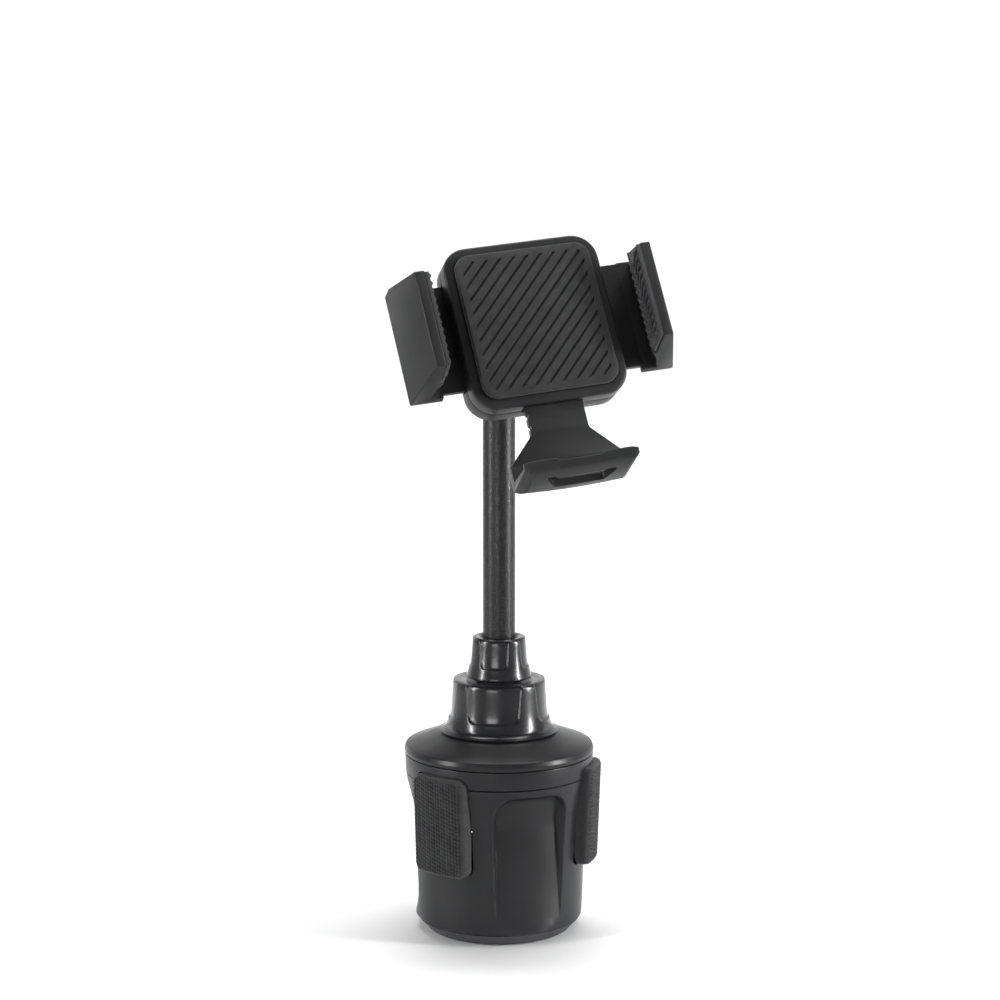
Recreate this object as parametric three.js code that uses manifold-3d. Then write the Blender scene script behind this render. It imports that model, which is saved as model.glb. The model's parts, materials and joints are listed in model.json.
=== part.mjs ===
// A phone mount that stands in a cup holder, as a three.js scene graph of named meshes.
// Millimetres, +Z up, front towards -Y. The origin is the middle of the bottom face.
import * as THREE from "three";
import { mergeVertices } from "three/addons/utils/BufferGeometryUtils.js";
import Module from "manifold-3d";

const wasm = await Module();
wasm.setup();

// ---------------------------------------------------------------- driving dimensions
const GAP = 0.3; // between pieces that touch
const WALL = 2.4; // moulded wall
const RAD = Math.PI / 180;
const TURN = 2 * Math.PI;
const COUNT = 3; // pads, scoops and screws round the base
const SEGMENTS = 36; // round the big turned pieces

const CUP = { foot: 5, seam: 60, rimSeam: 67 };
const RIM = { r: 35.3, z: 69.6, shoulderR: 21.2, shoulderZ: 75.4 };
const PAD = { angle: -39, half: 11.7, low: 27, high: 63.4, back: 32.2, top: 38.2, bottom: 36.9 };
const WINDOW = { half: 12.3, low: 26.4, high: 64, corner: 3.5 };
const SCOOP = { angle: 22, half: 14.3, footHalf: 12.9, top: 57.5, shift: 16 };
const FRAME = { low: 50.6, high: 53, rail: 62, reach: 24.3, railReach: 23.1 };
const SCREW = { bottomAt: 21, frameAt: 12.6 };
const CARRIER = { face: 31.9, plate: 2.4, half: 9.2, low: 28.5, high: 62.3, tongue: 5.6 };
const PIN = { r: 1.5, at: 17.3 };
const CAM = { low: 64.7, high: 67.4, r: 28, bore: 9.1 };
const KNOB = { top: 94.6, hub: 10.8, bore: 9.1, panels: 4, panelTurn: -7 };
const LOCK = { top: 110.4, panelTurn: -11 };
const TUBE = { bore: 6.5, r: 8.7, low: 6, high: 96.6, flange: 15.6 };
const POLE = { r: 6, bore: 4.8, low: 10, high: 203 };

const CAM_TRAVEL = { in: -4.5, out: 5.5 }; // pad travel from where the pads stand
const CAM_RISE = 5.73; // pad travel in mm for each radian of the knob

// Cradle: its frame has X to the user's right, Y up the phone, Z towards the user,
// and its origin is the middle of the ball.
const BALL = { x: 6.65, y: -19.85, z: 221, r: 8.5, shell: 1.4, neck: 2.9, stud: 30 };
const POSE = { yaw: 14.6, lean: 25.5, spin: 7 };
const HOUSING = { half: 28.4, low: -32, high: 28, corner: 9, back: 12, split: 18.4, front: 24.8 };
const GRIP = { inner: 37.15, low: -18.6, high: 16.2, rest: 27, lip: 39, back: 15.3 };
const ARM = { width: 5.6, flare: 5.9, padThick: 2, padDepth: 11 };
const PLATE = { low: 15.3, high: 17.9, bottom: -21.5, top: 17.5 };
const PINION = { r: 6, teeth: 12, y: -1 };
const FOOT = { half: 20.5, top: -57.6, bar: 10.5, barLow: 19.5, barHigh: 22.1, barTop: -13 };

// ---------------------------------------------------------------- looks
function plastic(color, roughness) {
  return new THREE.MeshStandardMaterial({ color, roughness, metalness: 0 });
}
const GLOSS = plastic(0x17171a, 0.28);
const SATIN = plastic(0x1b1b1d, 0.45);
const INNER = plastic(0x4a4c50, 0.5);
const NATURAL = plastic(0xd8d8d2, 0.5);
const UNDERSIDE = plastic(0x55565a, 0.45);
const RUBBER = plastic(0x202123, 0.85);
const POWDER = new THREE.MeshStandardMaterial({ color: 0x2a2826, roughness: 0.4, metalness: 0.4 });
const STEEL = new THREE.MeshStandardMaterial({ color: 0xb4b6b8, roughness: 0.3, metalness: 1 });

// ---------------------------------------------------------------- solids
// A geometry as a closed solid; one that faces inwards is turned the right way out.
function solid(geometry) {
  const bare = geometry.clone();
  bare.deleteAttribute("normal");
  bare.deleteAttribute("uv");
  const merged = mergeVertices(bare, 1e-4);
  const position = merged.attributes.position;
  const index = merged.index.array;
  const kept = [];
  const corner = [new THREE.Vector3(), new THREE.Vector3(), new THREE.Vector3()];
  let volume = 0;
  for (let i = 0; i < index.length; i += 3) {
    const [a, b, c] = index.slice(i, i + 3);
    if (a === b || b === c || c === a) continue;
    kept.push([a, b, c]);
    corner.forEach((v, k) => v.fromBufferAttribute(position, index[i + k]));
    volume += corner[0].dot(corner[1].clone().cross(corner[2]));
  }
  const faces = volume < 0 ? kept.map(([a, b, c]) => [a, c, b]) : kept;
  const triVerts = new Uint32Array(faces.flat());
  const vertProperties = position.array;
  return new wasm.Manifold(new wasm.Mesh({ numProp: 3, vertProperties, triVerts }));
}

function join(first, ...others) {
  return others.reduce((sum, s) => sum.add(s), first);
}

function cut(first, ...tools) {
  return tools.reduce((left, s) => left.subtract(s), first);
}

function geometryOf(shape) {
  const mesh = shape.getMesh();
  const geometry = new THREE.BufferGeometry();
  const count = mesh.vertProperties.length / mesh.numProp;
  const points = new Float32Array(count * 3);
  for (let i = 0; i < count; i += 1) {
    points.set(mesh.vertProperties.subarray(i * mesh.numProp, i * mesh.numProp + 3), i * 3);
  }
  geometry.setAttribute("position", new THREE.BufferAttribute(points, 3));
  geometry.setIndex(new THREE.BufferAttribute(mesh.triVerts, 1));
  geometry.computeVertexNormals();
  return geometry;
}

function put(parent, name, shape, material) {
  const mesh = new THREE.Mesh(geometryOf(shape), material);
  mesh.name = name;
  parent.add(mesh);
  return mesh;
}

// A profile of [radius, height] turned about Z.
function turnedGeometry(profile, segments = SEGMENTS) {
  const points = profile.map(([r, z]) => new THREE.Vector2(r, z));
  const onAxis = profile[0][0] === 0 && profile.at(-1)[0] === 0;
  if (!onAxis) points.push(points[0].clone());
  return new THREE.LatheGeometry(points, segments).rotateX(Math.PI / 2);
}

function turned(profile, segments = SEGMENTS) {
  return solid(turnedGeometry(profile, segments));
}

function disc(r, low, high, segments = 20) {
  return turned([[0, low], [r, low], [r, high], [0, high]], segments);
}

function ring(inner, outer, low, high, segments = 28) {
  return turned([[inner, low], [outer, low], [outer, high], [inner, high]], segments);
}

function rounded(x0, y0, x1, y1, r, steps = 5) {
  const points = [];
  const corners = [[x1 - r, y1 - r, 0], [x0 + r, y1 - r, 90], [x0 + r, y0 + r, 180], [x1 - r, y0 + r, 270]];
  for (const [cx, cy, start] of corners) {
    for (let i = 0; i <= steps; i += 1) {
      const a = (start + (90 * i) / steps) * RAD;
      points.push(new THREE.Vector2(cx + r * Math.cos(a), cy + r * Math.sin(a)));
    }
  }
  return new THREE.Shape(points);
}

function outline(points) {
  return new THREE.Shape(points.map(([x, y]) => new THREE.Vector2(x, y)));
}

// An outline in X and Y, standing from z = low to z = high.
function slabGeometry(shape, low, high) {
  const depth = high - low;
  const options = { depth, bevelEnabled: false, curveSegments: 8 };
  return new THREE.ExtrudeGeometry(shape, options).translate(0, 0, low);
}

function slab(shape, low, high) {
  return solid(slabGeometry(shape, low, high));
}

// An outline in X (sideways) and Z (height), reaching forward from y = -near to y = -far.
function panelGeometry(shape, near, far) {
  return slabGeometry(shape, near, far).rotateX(Math.PI / 2);
}

// An outline in Y and Z, reaching from x = low to x = high.
function sideGeometry(shape, low, high) {
  return slabGeometry(shape, low, high).rotateX(Math.PI / 2).rotateZ(Math.PI / 2);
}

function box(x0, x1, y0, y1, z0, z1) {
  const g = new THREE.BoxGeometry(x1 - x0, y1 - y0, z1 - z0);
  return solid(g.translate((x0 + x1) / 2, (y0 + y1) / 2, (z0 + z1) / 2));
}

// Angles count from the front, positive towards the user's right.
function round(first, count = COUNT) {
  return Array.from({ length: count }, (_, i) => first * RAD + (i * TURN) / count);
}

function around(geometry, angles) {
  return angles.map((a) => solid(geometry.clone().rotateZ(a)));
}

function at(geometry, x, y, z = 0) {
  return geometry.clone().translate(x, y, z);
}

function forward(angle, distance) {
  return [Math.sin(angle) * distance, -Math.cos(angle) * distance];
}

const PAD_ANGLES = round(PAD.angle);
const SCOOP_ANGLES = round(SCOOP.angle);

// ---------------------------------------------------------------- cup
const CUP_SIDE = [
  [30.9, CUP.foot], [31.2, 9.9], [31.6, 21.3], [32, 30.6], [32.4, 40], [32.6, 44.5],
  [33.1, 49], [33.7, 52.4], [34.4, 57], [34.8, CUP.seam - 0.15],
];

function archOutline(half, low, high, corner) {
  return rounded(-half, low, half, high, corner, 5);
}

// The finger scoops: a panel leaning out towards its foot, under a curved ceiling.
function scoopFloor(depth) {
  const panel = [[31.4, CUP.foot - 0.4], [30.4, 9], [29.4, 18], [28.7, 30], [28.1, 44]];
  const ceiling = [];
  for (let i = 1; i <= 4; i += 1) {
    const a = (i / 4) * 90 * RAD;
    ceiling.push([28.1 + 7.4 * (1 - Math.cos(a)), 44 + 13.5 * Math.sin(a)]);
  }
  const side = [...panel, ...ceiling].map(([r, z]) => [r + SCOOP.shift - depth, z]);
  const lowest = CUP.foot - 2;
  const highest = SCOOP.top + 6;
  const profile = [[0, lowest], [side[0][0], lowest], ...side, [side.at(-1)[0], highest], [0, highest]];
  return turnedGeometry(profile, 36).translate(0, SCOOP.shift, 0);
}

function scoopPrism(grow) {
  const arch = archOutline(SCOOP.half + grow, 40, SCOOP.top + grow, 8).getPoints().slice(0, 12);
  const foot = SCOOP.footHalf + grow;
  arch.push(new THREE.Vector2(-foot, CUP.foot - 12), new THREE.Vector2(foot, CUP.foot - 12));
  return panelGeometry(new THREE.Shape(arch), 18, 44);
}

function windowTool() {
  return panelGeometry(archOutline(WINDOW.half, WINDOW.low, WINDOW.high, WINDOW.corner), 24, 44);
}

function makeCupShell() {
  const inside = CUP_SIDE.filter((_, i) => i % 4 === 1).map(([r, z]) => [r - WALL, z]);
  const outer = turned([[0, CUP.foot], ...CUP_SIDE, [0, CUP.seam - 0.15]]);
  const hollow = turned([[0, CUP.foot - 1], [inside[0][0], CUP.foot - 1], ...inside,
    [inside.at(-1)[0], CUP.seam + 1], [0, CUP.seam + 1]]);
  const below = disc(60, -20, CUP.foot);
  const level = disc(60, -21, CUP.seam - 0.15);
  let body = outer;
  let cavity = hollow;
  for (const angle of SCOOP_ANGLES) {
    const prism = solid(scoopPrism(0).rotateZ(angle));
    const floor = solid(scoopFloor(0).rotateZ(angle));
    const wide = solid(scoopPrism(WALL).rotateZ(angle));
    const inner = solid(scoopFloor(WALL).rotateZ(angle));
    const foot = prism.intersect(floor).intersect(level);
    body = body.subtract(prism.subtract(floor)).add(foot.subtract(disc(24, -20, 80)));
    cavity = cavity.subtract(wide.subtract(inner));
  }
  const shell = cut(body, cavity, below, ...around(windowTool(), PAD_ANGLES));
  const rib = new THREE.BoxGeometry(2, 7.4, 11).translate(0, -24.6, 14.7);
  const posts = pillars(SCREW_PLACES, [[0, 5.5], [2.9, 5.5], [2.9, 20.2], [0, 20.2]]);
  const holes = pillars(SCREW_PLACES, [[0, 5], [1.5, 5], [1.5, 18.4], [0, 18.4]]);
  return cut(join(shell, ...posts, ...around(rib, SCOOP_ANGLES)), ...holes);
}

function makeCollarRing() {
  const low = CUP.seam + 0.15;
  const high = CUP.rimSeam - 0.15;
  const band = turned([[32.5, low], [34.9, low], [35.1, high], [32.5, high]]);
  const spigot = turned([[30.4, 58.8], [32.1, 58.8], [32.1, low], [33, low + 0.8], [33, low + 2],
    [30.4, low + 2]]);
  return cut(join(band, spigot), ...around(windowTool(), PAD_ANGLES));
}

function makeTopCover() {
  const low = CUP.rimSeam + 0.15;
  const neck = RIM.shoulderZ - 0.3;
  return turned([
    [32.2, 64.3], [32.2, low], [35.15, low], [RIM.r, 68.4], [RIM.r, 69.2], [34.9, 70], [34, 70.6],
    [28, 72.6], [RIM.shoulderR, neck], [15, neck], [15, 72.4], [20, 72.4], [27.5, 70.2],
    [30.6, 68.8], [30.6, 64.3],
  ]);
}

const SCREW_PLACES = SCOOP_ANGLES.map((angle) => forward(angle, SCREW.bottomAt));
const FRAME_SCREW_PLACES = SCOOP_ANGLES.map((angle) => forward(angle, SCREW.frameAt));

function pillars(places, profile, segments = 10) {
  return places.map(([x, y]) => solid(at(turnedGeometry(profile, segments), x, y)));
}

function makeBottomCover() {
  const plate = turned([
    [0, 0], [24.7, 0], [26.6, 0.5], [30.5, CUP.foot - 0.6], [30.5, CUP.foot - GAP],
    [27.9, CUP.foot - GAP], [25.6, 2.4], [0, 2.4],
  ]);
  const spigot = ring(24.6, 26.2, 2, 8.5);
  const collars = pillars(SCREW_PLACES, [[0, 1], [3.8, 1], [3.8, 5.1], [0, 5.1]]);
  const holes = pillars(SCREW_PLACES, [[0, -1], [2.8, -1], [2.8, 2.6], [1.6, 2.6], [1.6, 9], [0, 9]]);
  const seat = disc(TUBE.r + 2.2, 2, TUBE.low + 6);
  const seatHole = disc(TUBE.r + GAP, TUBE.low - GAP, 20);
  return cut(join(plate, spigot, ...collars, seat), seatHole, ...holes);
}

function makeScrew(length, head, shank) {
  const body = turned([[0, 0], [head - 0.4, 0], [head, 0.4], [head, 1.7], [shank, 1.9],
    [shank, length - 1], [shank - 0.6, length], [0, length]], 10);
  return cut(body, box(-head * 0.6, head * 0.6, -0.35, 0.35, -1, 0.9));
}

// ---------------------------------------------------------------- expanding pads
function makeGuideFrame() {
  const plate = disc(FRAME.reach, FRAME.low, FRAME.high, 32);
  const hub = ring(TUBE.r + 0.3, 10.2, FRAME.low, FRAME.rail, 20);
  const width = 2.3;
  const near = CARRIER.tongue + 0.5; // from the middle of the tongue to the rail beside it
  const rails = [-near - width, near].flatMap((x) => around(slabGeometry(
    rounded(x, -FRAME.railReach, x + width, -9.5, 0.6, 2), FRAME.high - 0.5, FRAME.rail), PAD_ANGLES));
  const posts = pillars(FRAME_SCREW_PLACES, [[0, FRAME.low], [2.6, FRAME.low], [2.6, 59], [0, 59]]);
  const holes = pillars(FRAME_SCREW_PLACES, [[0, 40], [1.4, 40], [1.4, 57], [0, 57]]);
  return cut(join(plate, hub, ...rails, ...posts), disc(TUBE.r + 0.3, 0, 80, 20), ...holes);
}

function carrierGeometry() {
  const face = panelGeometry(rounded(-CARRIER.half, CARRIER.low, CARRIER.half, CARRIER.high, 2, 2), 20, 40);
  const skin = ring(CARRIER.face - CARRIER.plate, CARRIER.face, CARRIER.low - 1, CARRIER.high + 1, 40);
  const half = CARRIER.tongue;
  const tongue = slab(rounded(-half, -30.6, half, -15.1, 0.6, 2), FRAME.high + GAP, FRAME.rail);
  const pinHole = solid(at(turnedGeometry([[0, 56], [PIN.r + 0.05, 56], [PIN.r + 0.05, 70], [0, 70]], 16),
    0, -PIN.at));
  return geometryOf(cut(join(skin.intersect(solid(face)), tongue), pinHole));
}

function pinGeometry() {
  const r = PIN.r - 0.05;
  const profile = [[0, 56.3], [r, 56.3], [r, CAM.high - 0.4], [r - 0.4, CAM.high], [0, CAM.high]];
  return at(turnedGeometry(profile, 16), 0, -PIN.at);
}

// The rubber pad: curved face, straight sides, shallow ribs across it.
function padGeometry() {
  const face = [[PAD.back, PAD.low], [PAD.bottom - 1.2, PAD.low], [PAD.bottom, PAD.low + 1.2]];
  const ribs = 6;
  const pitch = (PAD.high - PAD.low - 2) / ribs;
  for (let i = 0; i < ribs; i += 1) {
    const z = PAD.low + 1.2 + pitch * (i + 0.5);
    const r = PAD.bottom + ((PAD.top - PAD.bottom) * (z - PAD.low)) / (PAD.high - PAD.low);
    face.push([r, z - 0.25 * pitch], [r, z + 0.25 * pitch], [r - 0.4, z + 0.5 * pitch]);
  }
  face.push([PAD.top, PAD.high - 0.4], [PAD.top - 0.4, PAD.high], [PAD.back, PAD.high]);
  const block = turned(face, 48);
  const frontView = rounded(-PAD.half, PAD.low, PAD.half, PAD.high, 3.2, 3);
  return geometryOf(block.intersect(solid(panelGeometry(frontView, 20, 50))));
}

// Three spiral slots: the pin's radius grows evenly as the disc turns.
function makeCamDisc() {
  const blank = ring(CAM.bore, CAM.r, CAM.low, CAM.high, 36);
  const steps = 8;
  const dwell = 0.17; // radians of level slot past each end of the travel
  const start = -CAM_TRAVEL.out / CAM_RISE;
  const end = -CAM_TRAVEL.in / CAM_RISE;
  const half = PIN.r + 0.35;
  const outer = [];
  const inner = [];
  for (let i = -1; i <= steps + 1; i += 1) {
    const turn = THREE.MathUtils.clamp(start + ((end - start) * i) / steps, start, end);
    const a = turn + (i < 0 ? -dwell : 0) + (i > steps ? dwell : 0);
    const r = PIN.at - CAM_RISE * turn;
    outer.push(new THREE.Vector2(Math.sin(a) * (r + half), -Math.cos(a) * (r + half)));
    inner.unshift(new THREE.Vector2(Math.sin(a) * (r - half), -Math.cos(a) * (r - half)));
  }
  const slot = slabGeometry(new THREE.Shape([...outer, ...inner]), CAM.low - 1, CAM.high + 1);
  const keySeat = rounded(-2.2, -KNOB.hub - 0.3, 2.2, -CAM.bore + 2, 0.3, 1);
  const key = slabGeometry(keySeat, CAM.low + 1, CAM.high + 1);
  return cut(blank, ...around(slot, PAD_ANGLES), ...around(key, KEY_ANGLES));
}

const KEY_ANGLES = round(PAD.angle + 60);

// Shallow U-shaped grip panels round a knob, open at its top edge.
function gripPanels(halfAngle, low, high, depthAt, turn) {
  const angles = round(turn, KNOB.panels);
  const half = Math.sin(halfAngle * RAD) * depthAt;
  const shape = outline([[-half * 0.82, low + 1.2], [-half * 0.66, low], [half * 0.66, low],
    [half * 0.82, low + 1.2], [half, high + 1], [-half, high + 1]]);
  return around(panelGeometry(shape, depthAt * 0.4, depthAt * 2), angles);
}

function makeExpansionKnob() {
  const skin = [[22.4, RIM.shoulderZ], [21, RIM.shoulderZ + 0.5], [19.9, 77], [19.1, 78.8],
    [18.6, 81], [18.2, 85], [17.9, 92.4], [17.3, 94], [16.4, KNOB.top]];
  const shell = turned([
    ...skin, [KNOB.bore, KNOB.top], [KNOB.bore, CAM.high + GAP], [KNOB.hub, CAM.high + GAP],
    [KNOB.hub, 92], [15.4, 92], [16.2, 80], [17, 78.4], [18, RIM.shoulderZ],
  ], 32);
  const core = turned([[0, 78], [18.1, 78], [17.75, 85], [17.4, 96], [0, 96]], 32);
  const panels = gripPanels(36, 80.5, KNOB.top, 17.6, KNOB.panelTurn).map((p) => p.subtract(core));
  const keys = around(slabGeometry(rounded(-1.9, -KNOB.hub, 1.9, -KNOB.bore - 0.1, 0.3, 1),
    CAM.low + 1.3, CAM.high + 1), KEY_ANGLES);
  return cut(join(shell, ...keys), ...panels);
}

function makeLockKnob() {
  const low = 95.1;
  const skin = [[12.1, low], [11.9, 96.6], [11.2, 99.6], [10.7, 103], [10.35, 108.6],
    [9.2, LOCK.top]];
  const shell = turned([...skin, [POLE.r + 0.4, LOCK.top], [POLE.r + 0.4, 108], [9, 105.6], [9, low]], 28);
  const core = turned([[0, 90], [11.2, 90], [10.5, 102], [9.9, 112], [0, 112]], 28);
  const panels = gripPanels(35, 99.5, LOCK.top, 10.3, LOCK.panelTurn).map((p) => p.subtract(core));
  return cut(shell, ...panels);
}

function makeCentreTube() {
  const thread = [];
  const holes = pillars(FRAME_SCREW_PLACES, [[0, 40], [1.5, 40], [1.5, 60], [0, 60]]);
  for (let z = 90; z < TUBE.high - 2; z += 3) thread.push([TUBE.r, z], [TUBE.r - 0.5, z + 1]);
  const tube = turned([
    [TUBE.bore, TUBE.low], [TUBE.r, TUBE.low], [TUBE.r, 47.8], [TUBE.flange, 47.8],
    [TUBE.flange, FRAME.low - GAP], [TUBE.r, FRAME.low - GAP], ...thread,
    [TUBE.r - 0.5, TUBE.high], [TUBE.bore, TUBE.high],
  ], 24);
  return cut(tube, ...holes);
}

function makeClampCollet() {
  const low = TUBE.high + GAP;
  const sleeve = turned([[POLE.r + 0.15, low - 14], [TUBE.bore - 0.15, low - 14], [TUBE.bore - 0.15, low],
    [8.2, low], [8.6, low + 4], [8.4, 105], [6.9, 107], [POLE.r + 0.15, 107]], 24);
  const slits = Array.from({ length: 3 }, (_, i) => {
    const g = new THREE.BoxGeometry(1.4, 12, 14).translate(0, -6, low + 7);
    return solid(g.rotateZ((i * TURN) / 3));
  });
  return cut(sleeve, ...slits);
}

// ---------------------------------------------------------------- pole and ball
function makePole() {
  return ring(POLE.bore, POLE.r, POLE.low, POLE.high, 32);
}

function makePolePlug() {
  return turned([[0, POLE.low - 2.4], [5.4, POLE.low - 2.4], [6.1, POLE.low - 1.7], [6.1, POLE.low - GAP],
    [4.5, POLE.low - GAP], [4.3, POLE.low + 9], [0, POLE.low + 9]], 24);
}

const ballCentre = new THREE.Vector3(BALL.x, BALL.y, BALL.z);
const studDirection = (() => {
  const flat = new THREE.Vector3(-BALL.x, -BALL.y, 0).normalize();
  return flat.multiplyScalar(Math.cos(BALL.stud * RAD)).setZ(-Math.sin(BALL.stud * RAD));
})();
const studLength = Math.hypot(BALL.x, BALL.y) / Math.cos(BALL.stud * RAD);

// Turns a geometry made along +Z to run from the ball's middle along the stud.
function alongStud(geometry) {
  const turn = new THREE.Quaternion().setFromUnitVectors(new THREE.Vector3(0, 0, 1), studDirection);
  return geometry.applyQuaternion(turn).translate(ballCentre.x, ballCentre.y, ballCentre.z);
}

function makePoleHead() {
  const base = POLE.high + GAP;
  const cap = turned([[0, POLE.high - 17], [4.2, POLE.high - 17], [4.5, POLE.high - 16.5], [4.5, base],
    [6.4, base], [6.4, base + 11], [5.4, base + 13.6], [3.4, base + 15], [0, base + 15.2]], 20);
  const boss = solid(alongStud(turnedGeometry([[0, 14.8], [4.2, 14.8], [5, 15.6], [5, studLength],
    [0, studLength]], 16)));
  const socket = solid(alongStud(turnedGeometry([[0, 10], [BALL.neck + 0.3, 10],
    [BALL.neck + 0.3, studLength - 2], [0, studLength - 2]], 12)));
  return cut(join(cap, boss), socket);
}

function makeBallStud() {
  const r = BALL.r;
  const neckStart = Math.sqrt(r * r - BALL.neck * BALL.neck);
  const profile = [[0, -r]];
  const steps = 9;
  const last = Math.PI - Math.asin(BALL.neck / r);
  for (let i = 1; i <= steps; i += 1) {
    const a = (last * i) / steps;
    profile.push([r * Math.sin(a), -r * Math.cos(a)]);
  }
  profile.push([BALL.neck, neckStart + 0.2], [BALL.neck, studLength - 2.4], [0, studLength - 2.4]);
  return solid(alongStud(turnedGeometry(profile, 20)));
}

// A shell round the ball between two angles from the cradle's +Z.
function ballShell(fromAngle, toAngle) {
  const inner = [];
  const outer = [];
  const steps = 4;
  for (let i = 0; i <= steps; i += 1) {
    const a = (fromAngle + ((toAngle - fromAngle) * i) / steps) * RAD;
    outer.push([(BALL.r + GAP + BALL.shell) * Math.sin(a), (BALL.r + GAP + BALL.shell) * Math.cos(a)]);
    inner.unshift([(BALL.r + GAP) * Math.sin(a), (BALL.r + GAP) * Math.cos(a)]);
  }
  return turned([...outer, ...inner], 20);
}

const SOCKET = { r: BALL.r + 2 * GAP + BALL.shell + 0.1, outer: 12.4, mouth: -1 };

function makeBallNut() {
  const cavity = [];
  for (let i = 0; i <= 3; i += 1) {
    const a = (96 + (35 * i) / 3) * RAD;
    cavity.push([SOCKET.r * Math.sin(a), SOCKET.r * Math.cos(a)]);
  }
  const body = turned([
    [12.8, 8.6], [14.6, 8.6], [15, 8], [15, -2.6], [13.2, -5.4], [11.2, -7.6], [9.3, -7.6],
    ...cavity.reverse(), [12.8, SOCKET.mouth - GAP - 0.1],
  ], 24);
  const flutes = Array.from({ length: 8 }, (_, i) => {
    const g = turnedGeometry([[0, -3], [1.3, -3], [1.3, 10], [0, 10]], 6).translate(15.6, 0, 0);
    return solid(g.rotateZ((i * TURN) / 8));
  });
  return cut(body, ...flutes);
}

// ---------------------------------------------------------------- cradle housing
const housingOutline = (grow) => rounded(-HOUSING.half + grow, HOUSING.low + grow, HOUSING.half - grow,
  HOUSING.high - grow, HOUSING.corner - grow, 4);

const HOUSING_SCREWS = [[-20, 22.6], [20, 22.6], [-22.4, -26.4], [22.4, -26.4]];

function makeRearHousing() {
  const shell = slab(housingOutline(0), HOUSING.back, HOUSING.split);
  const inside = slab(housingOutline(2), HOUSING.back + 2, HOUSING.split + 1);
  const socketOuter = disc(SOCKET.outer, SOCKET.mouth, HOUSING.back + 1, 24);
  const dome = [];
  for (let i = 0; i <= 4; i += 1) {
    const a = i * 22.5 * RAD;
    dome.push([SOCKET.r * Math.sin(a), SOCKET.r * Math.cos(a)]);
  }
  const cavity = turned([...dome, [SOCKET.r, -5], [0, -5]], 24);
  const slots = box(-40, 40, PLATE.bottom - 0.4, PLATE.top + 0.4, PLATE.low - 0.4, 30);
  const footSlot = box(-FOOT.bar - 0.4, FOOT.bar + 0.4, -40, -28, HOUSING.split - 0.9, 30);
  const axle = at(turnedGeometry([[0, 13], [2, 13], [2, 19.2], [0, 19.2]], 20), 0, PINION.y);
  const posts = HOUSING_SCREWS.map(([x, y]) => solid(at(turnedGeometry([[0, 13], [2.9, 13],
    [2.9, HOUSING.split - 0.2], [0, HOUSING.split - 0.2]], 12), x, y)));
  const screwHoles = HOUSING_SCREWS.map(([x, y]) => solid(at(turnedGeometry([[0, 5], [2.5, 5], [2.5, 14.4],
    [1.35, 14.4], [1.35, 30], [0, 30]], 10), x, y)));
  const button = slab(rounded(-6.4, 16.6, 6.4, 24.4, 2.2, 3), 0, 16);
  return cut(join(cut(join(cut(shell, inside), socketOuter), slots, footSlot), solid(axle), ...posts),
    cavity, ...screwHoles, button);
}

function makeFrontHousing() {
  const low = HOUSING.split + 0.2;
  const shell = slab(housingOutline(0), low, HOUSING.front);
  const inside = slab(housingOutline(2), low - 1, HOUSING.front - 2);
  const recess = slab(housingOutline(3.2), HOUSING.front - 0.7, HOUSING.front + 1);
  const footSlot = box(-FOOT.bar - 0.4, FOOT.bar + 0.4, -40, -28, 10, FOOT.barHigh + 0.4);
  const posts = HOUSING_SCREWS.map(([x, y]) => solid(at(turnedGeometry([[0, low], [2.6, low],
    [2.6, HOUSING.front - 1.6], [0, HOUSING.front - 1.6]], 16), x, y)));
  const holes = HOUSING_SCREWS.map(([x, y]) => solid(at(turnedGeometry([[0, 10], [1.35, 10],
    [1.35, 22.6], [0, 22.6]], 16), x, y)));
  return cut(join(cut(shell, inside, footSlot), ...posts), recess, ...holes);
}

// The rubber rest: slanting grooves across a rounded plate.
function makeFrontPad() {
  const plate = slab(housingOutline(3.6), HOUSING.front - 0.4, GRIP.rest);
  const grooves = [];
  for (let i = -5; i <= 5; i += 1) {
    const g = new THREE.BoxGeometry(90, 1, 1).rotateZ(45 * RAD).translate(i * 7, 0, GRIP.rest);
    grooves.push(solid(g));
  }
  const frame = slab(housingOutline(6.4), 20, 30);
  return cut(plate, ...grooves.map((g) => g.intersect(frame)));
}

// ---------------------------------------------------------------- arms
// Section of the right arm across the cradle: lip, side wall flaring back, and plate.
function armSection() {
  const x = GRIP.inner;
  return outline([
    [x + 0.3, GRIP.lip], [x + ARM.width - 0.4, GRIP.lip], [x + ARM.width, GRIP.lip - 0.5],
    [x + ARM.width + ARM.flare, GRIP.back + 0.6], [x + ARM.width + ARM.flare - 0.5, PLATE.low],
    [x - 0.6, PLATE.low], [x - 0.6, PLATE.high], [x + 4.6, PLATE.high], [x + 3, 24], [x + 0.8, 27.2],
    [x + ARM.padThick + 0.3, 28], [x + ARM.padThick + 0.3, GRIP.lip - 1.6], [x + 0.3, GRIP.lip - 1.2],
  ]);
}

function armSide(y0, y1) {
  const points = [
    [y0, GRIP.lip + 1], [y0 - 4.8, PLATE.low - 0.6], [y1 + 0.8, PLATE.low - 0.6],
    [y1 + 2.4, PLATE.low + 4.4], [y1, GRIP.lip + 1],
  ];
  return outline(points);
}

// Straight-flanked rack teeth that meet the pinion.
function rackBar(x0, x1, yTooth, side) {
  const pitch = (TURN * PINION.r) / PINION.teeth;
  const root = yTooth + side * 1.2;
  const back = yTooth + side * 6.4;
  const points = [[x0, root]];
  const first = Math.ceil((x0 + 0.8) / pitch);
  for (let i = first; i * pitch < x1 - 0.8; i += 1) {
    const x = i * pitch;
    points.push([x - 0.75, root], [x - 0.3, yTooth - side * 0.8], [x + 0.3, yTooth - side * 0.8],
      [x + 0.75, root]);
  }
  points.push([x1, root], [x1, back], [x0, back]);
  return slab(outline(points), PLATE.low, PLATE.high);
}

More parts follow.
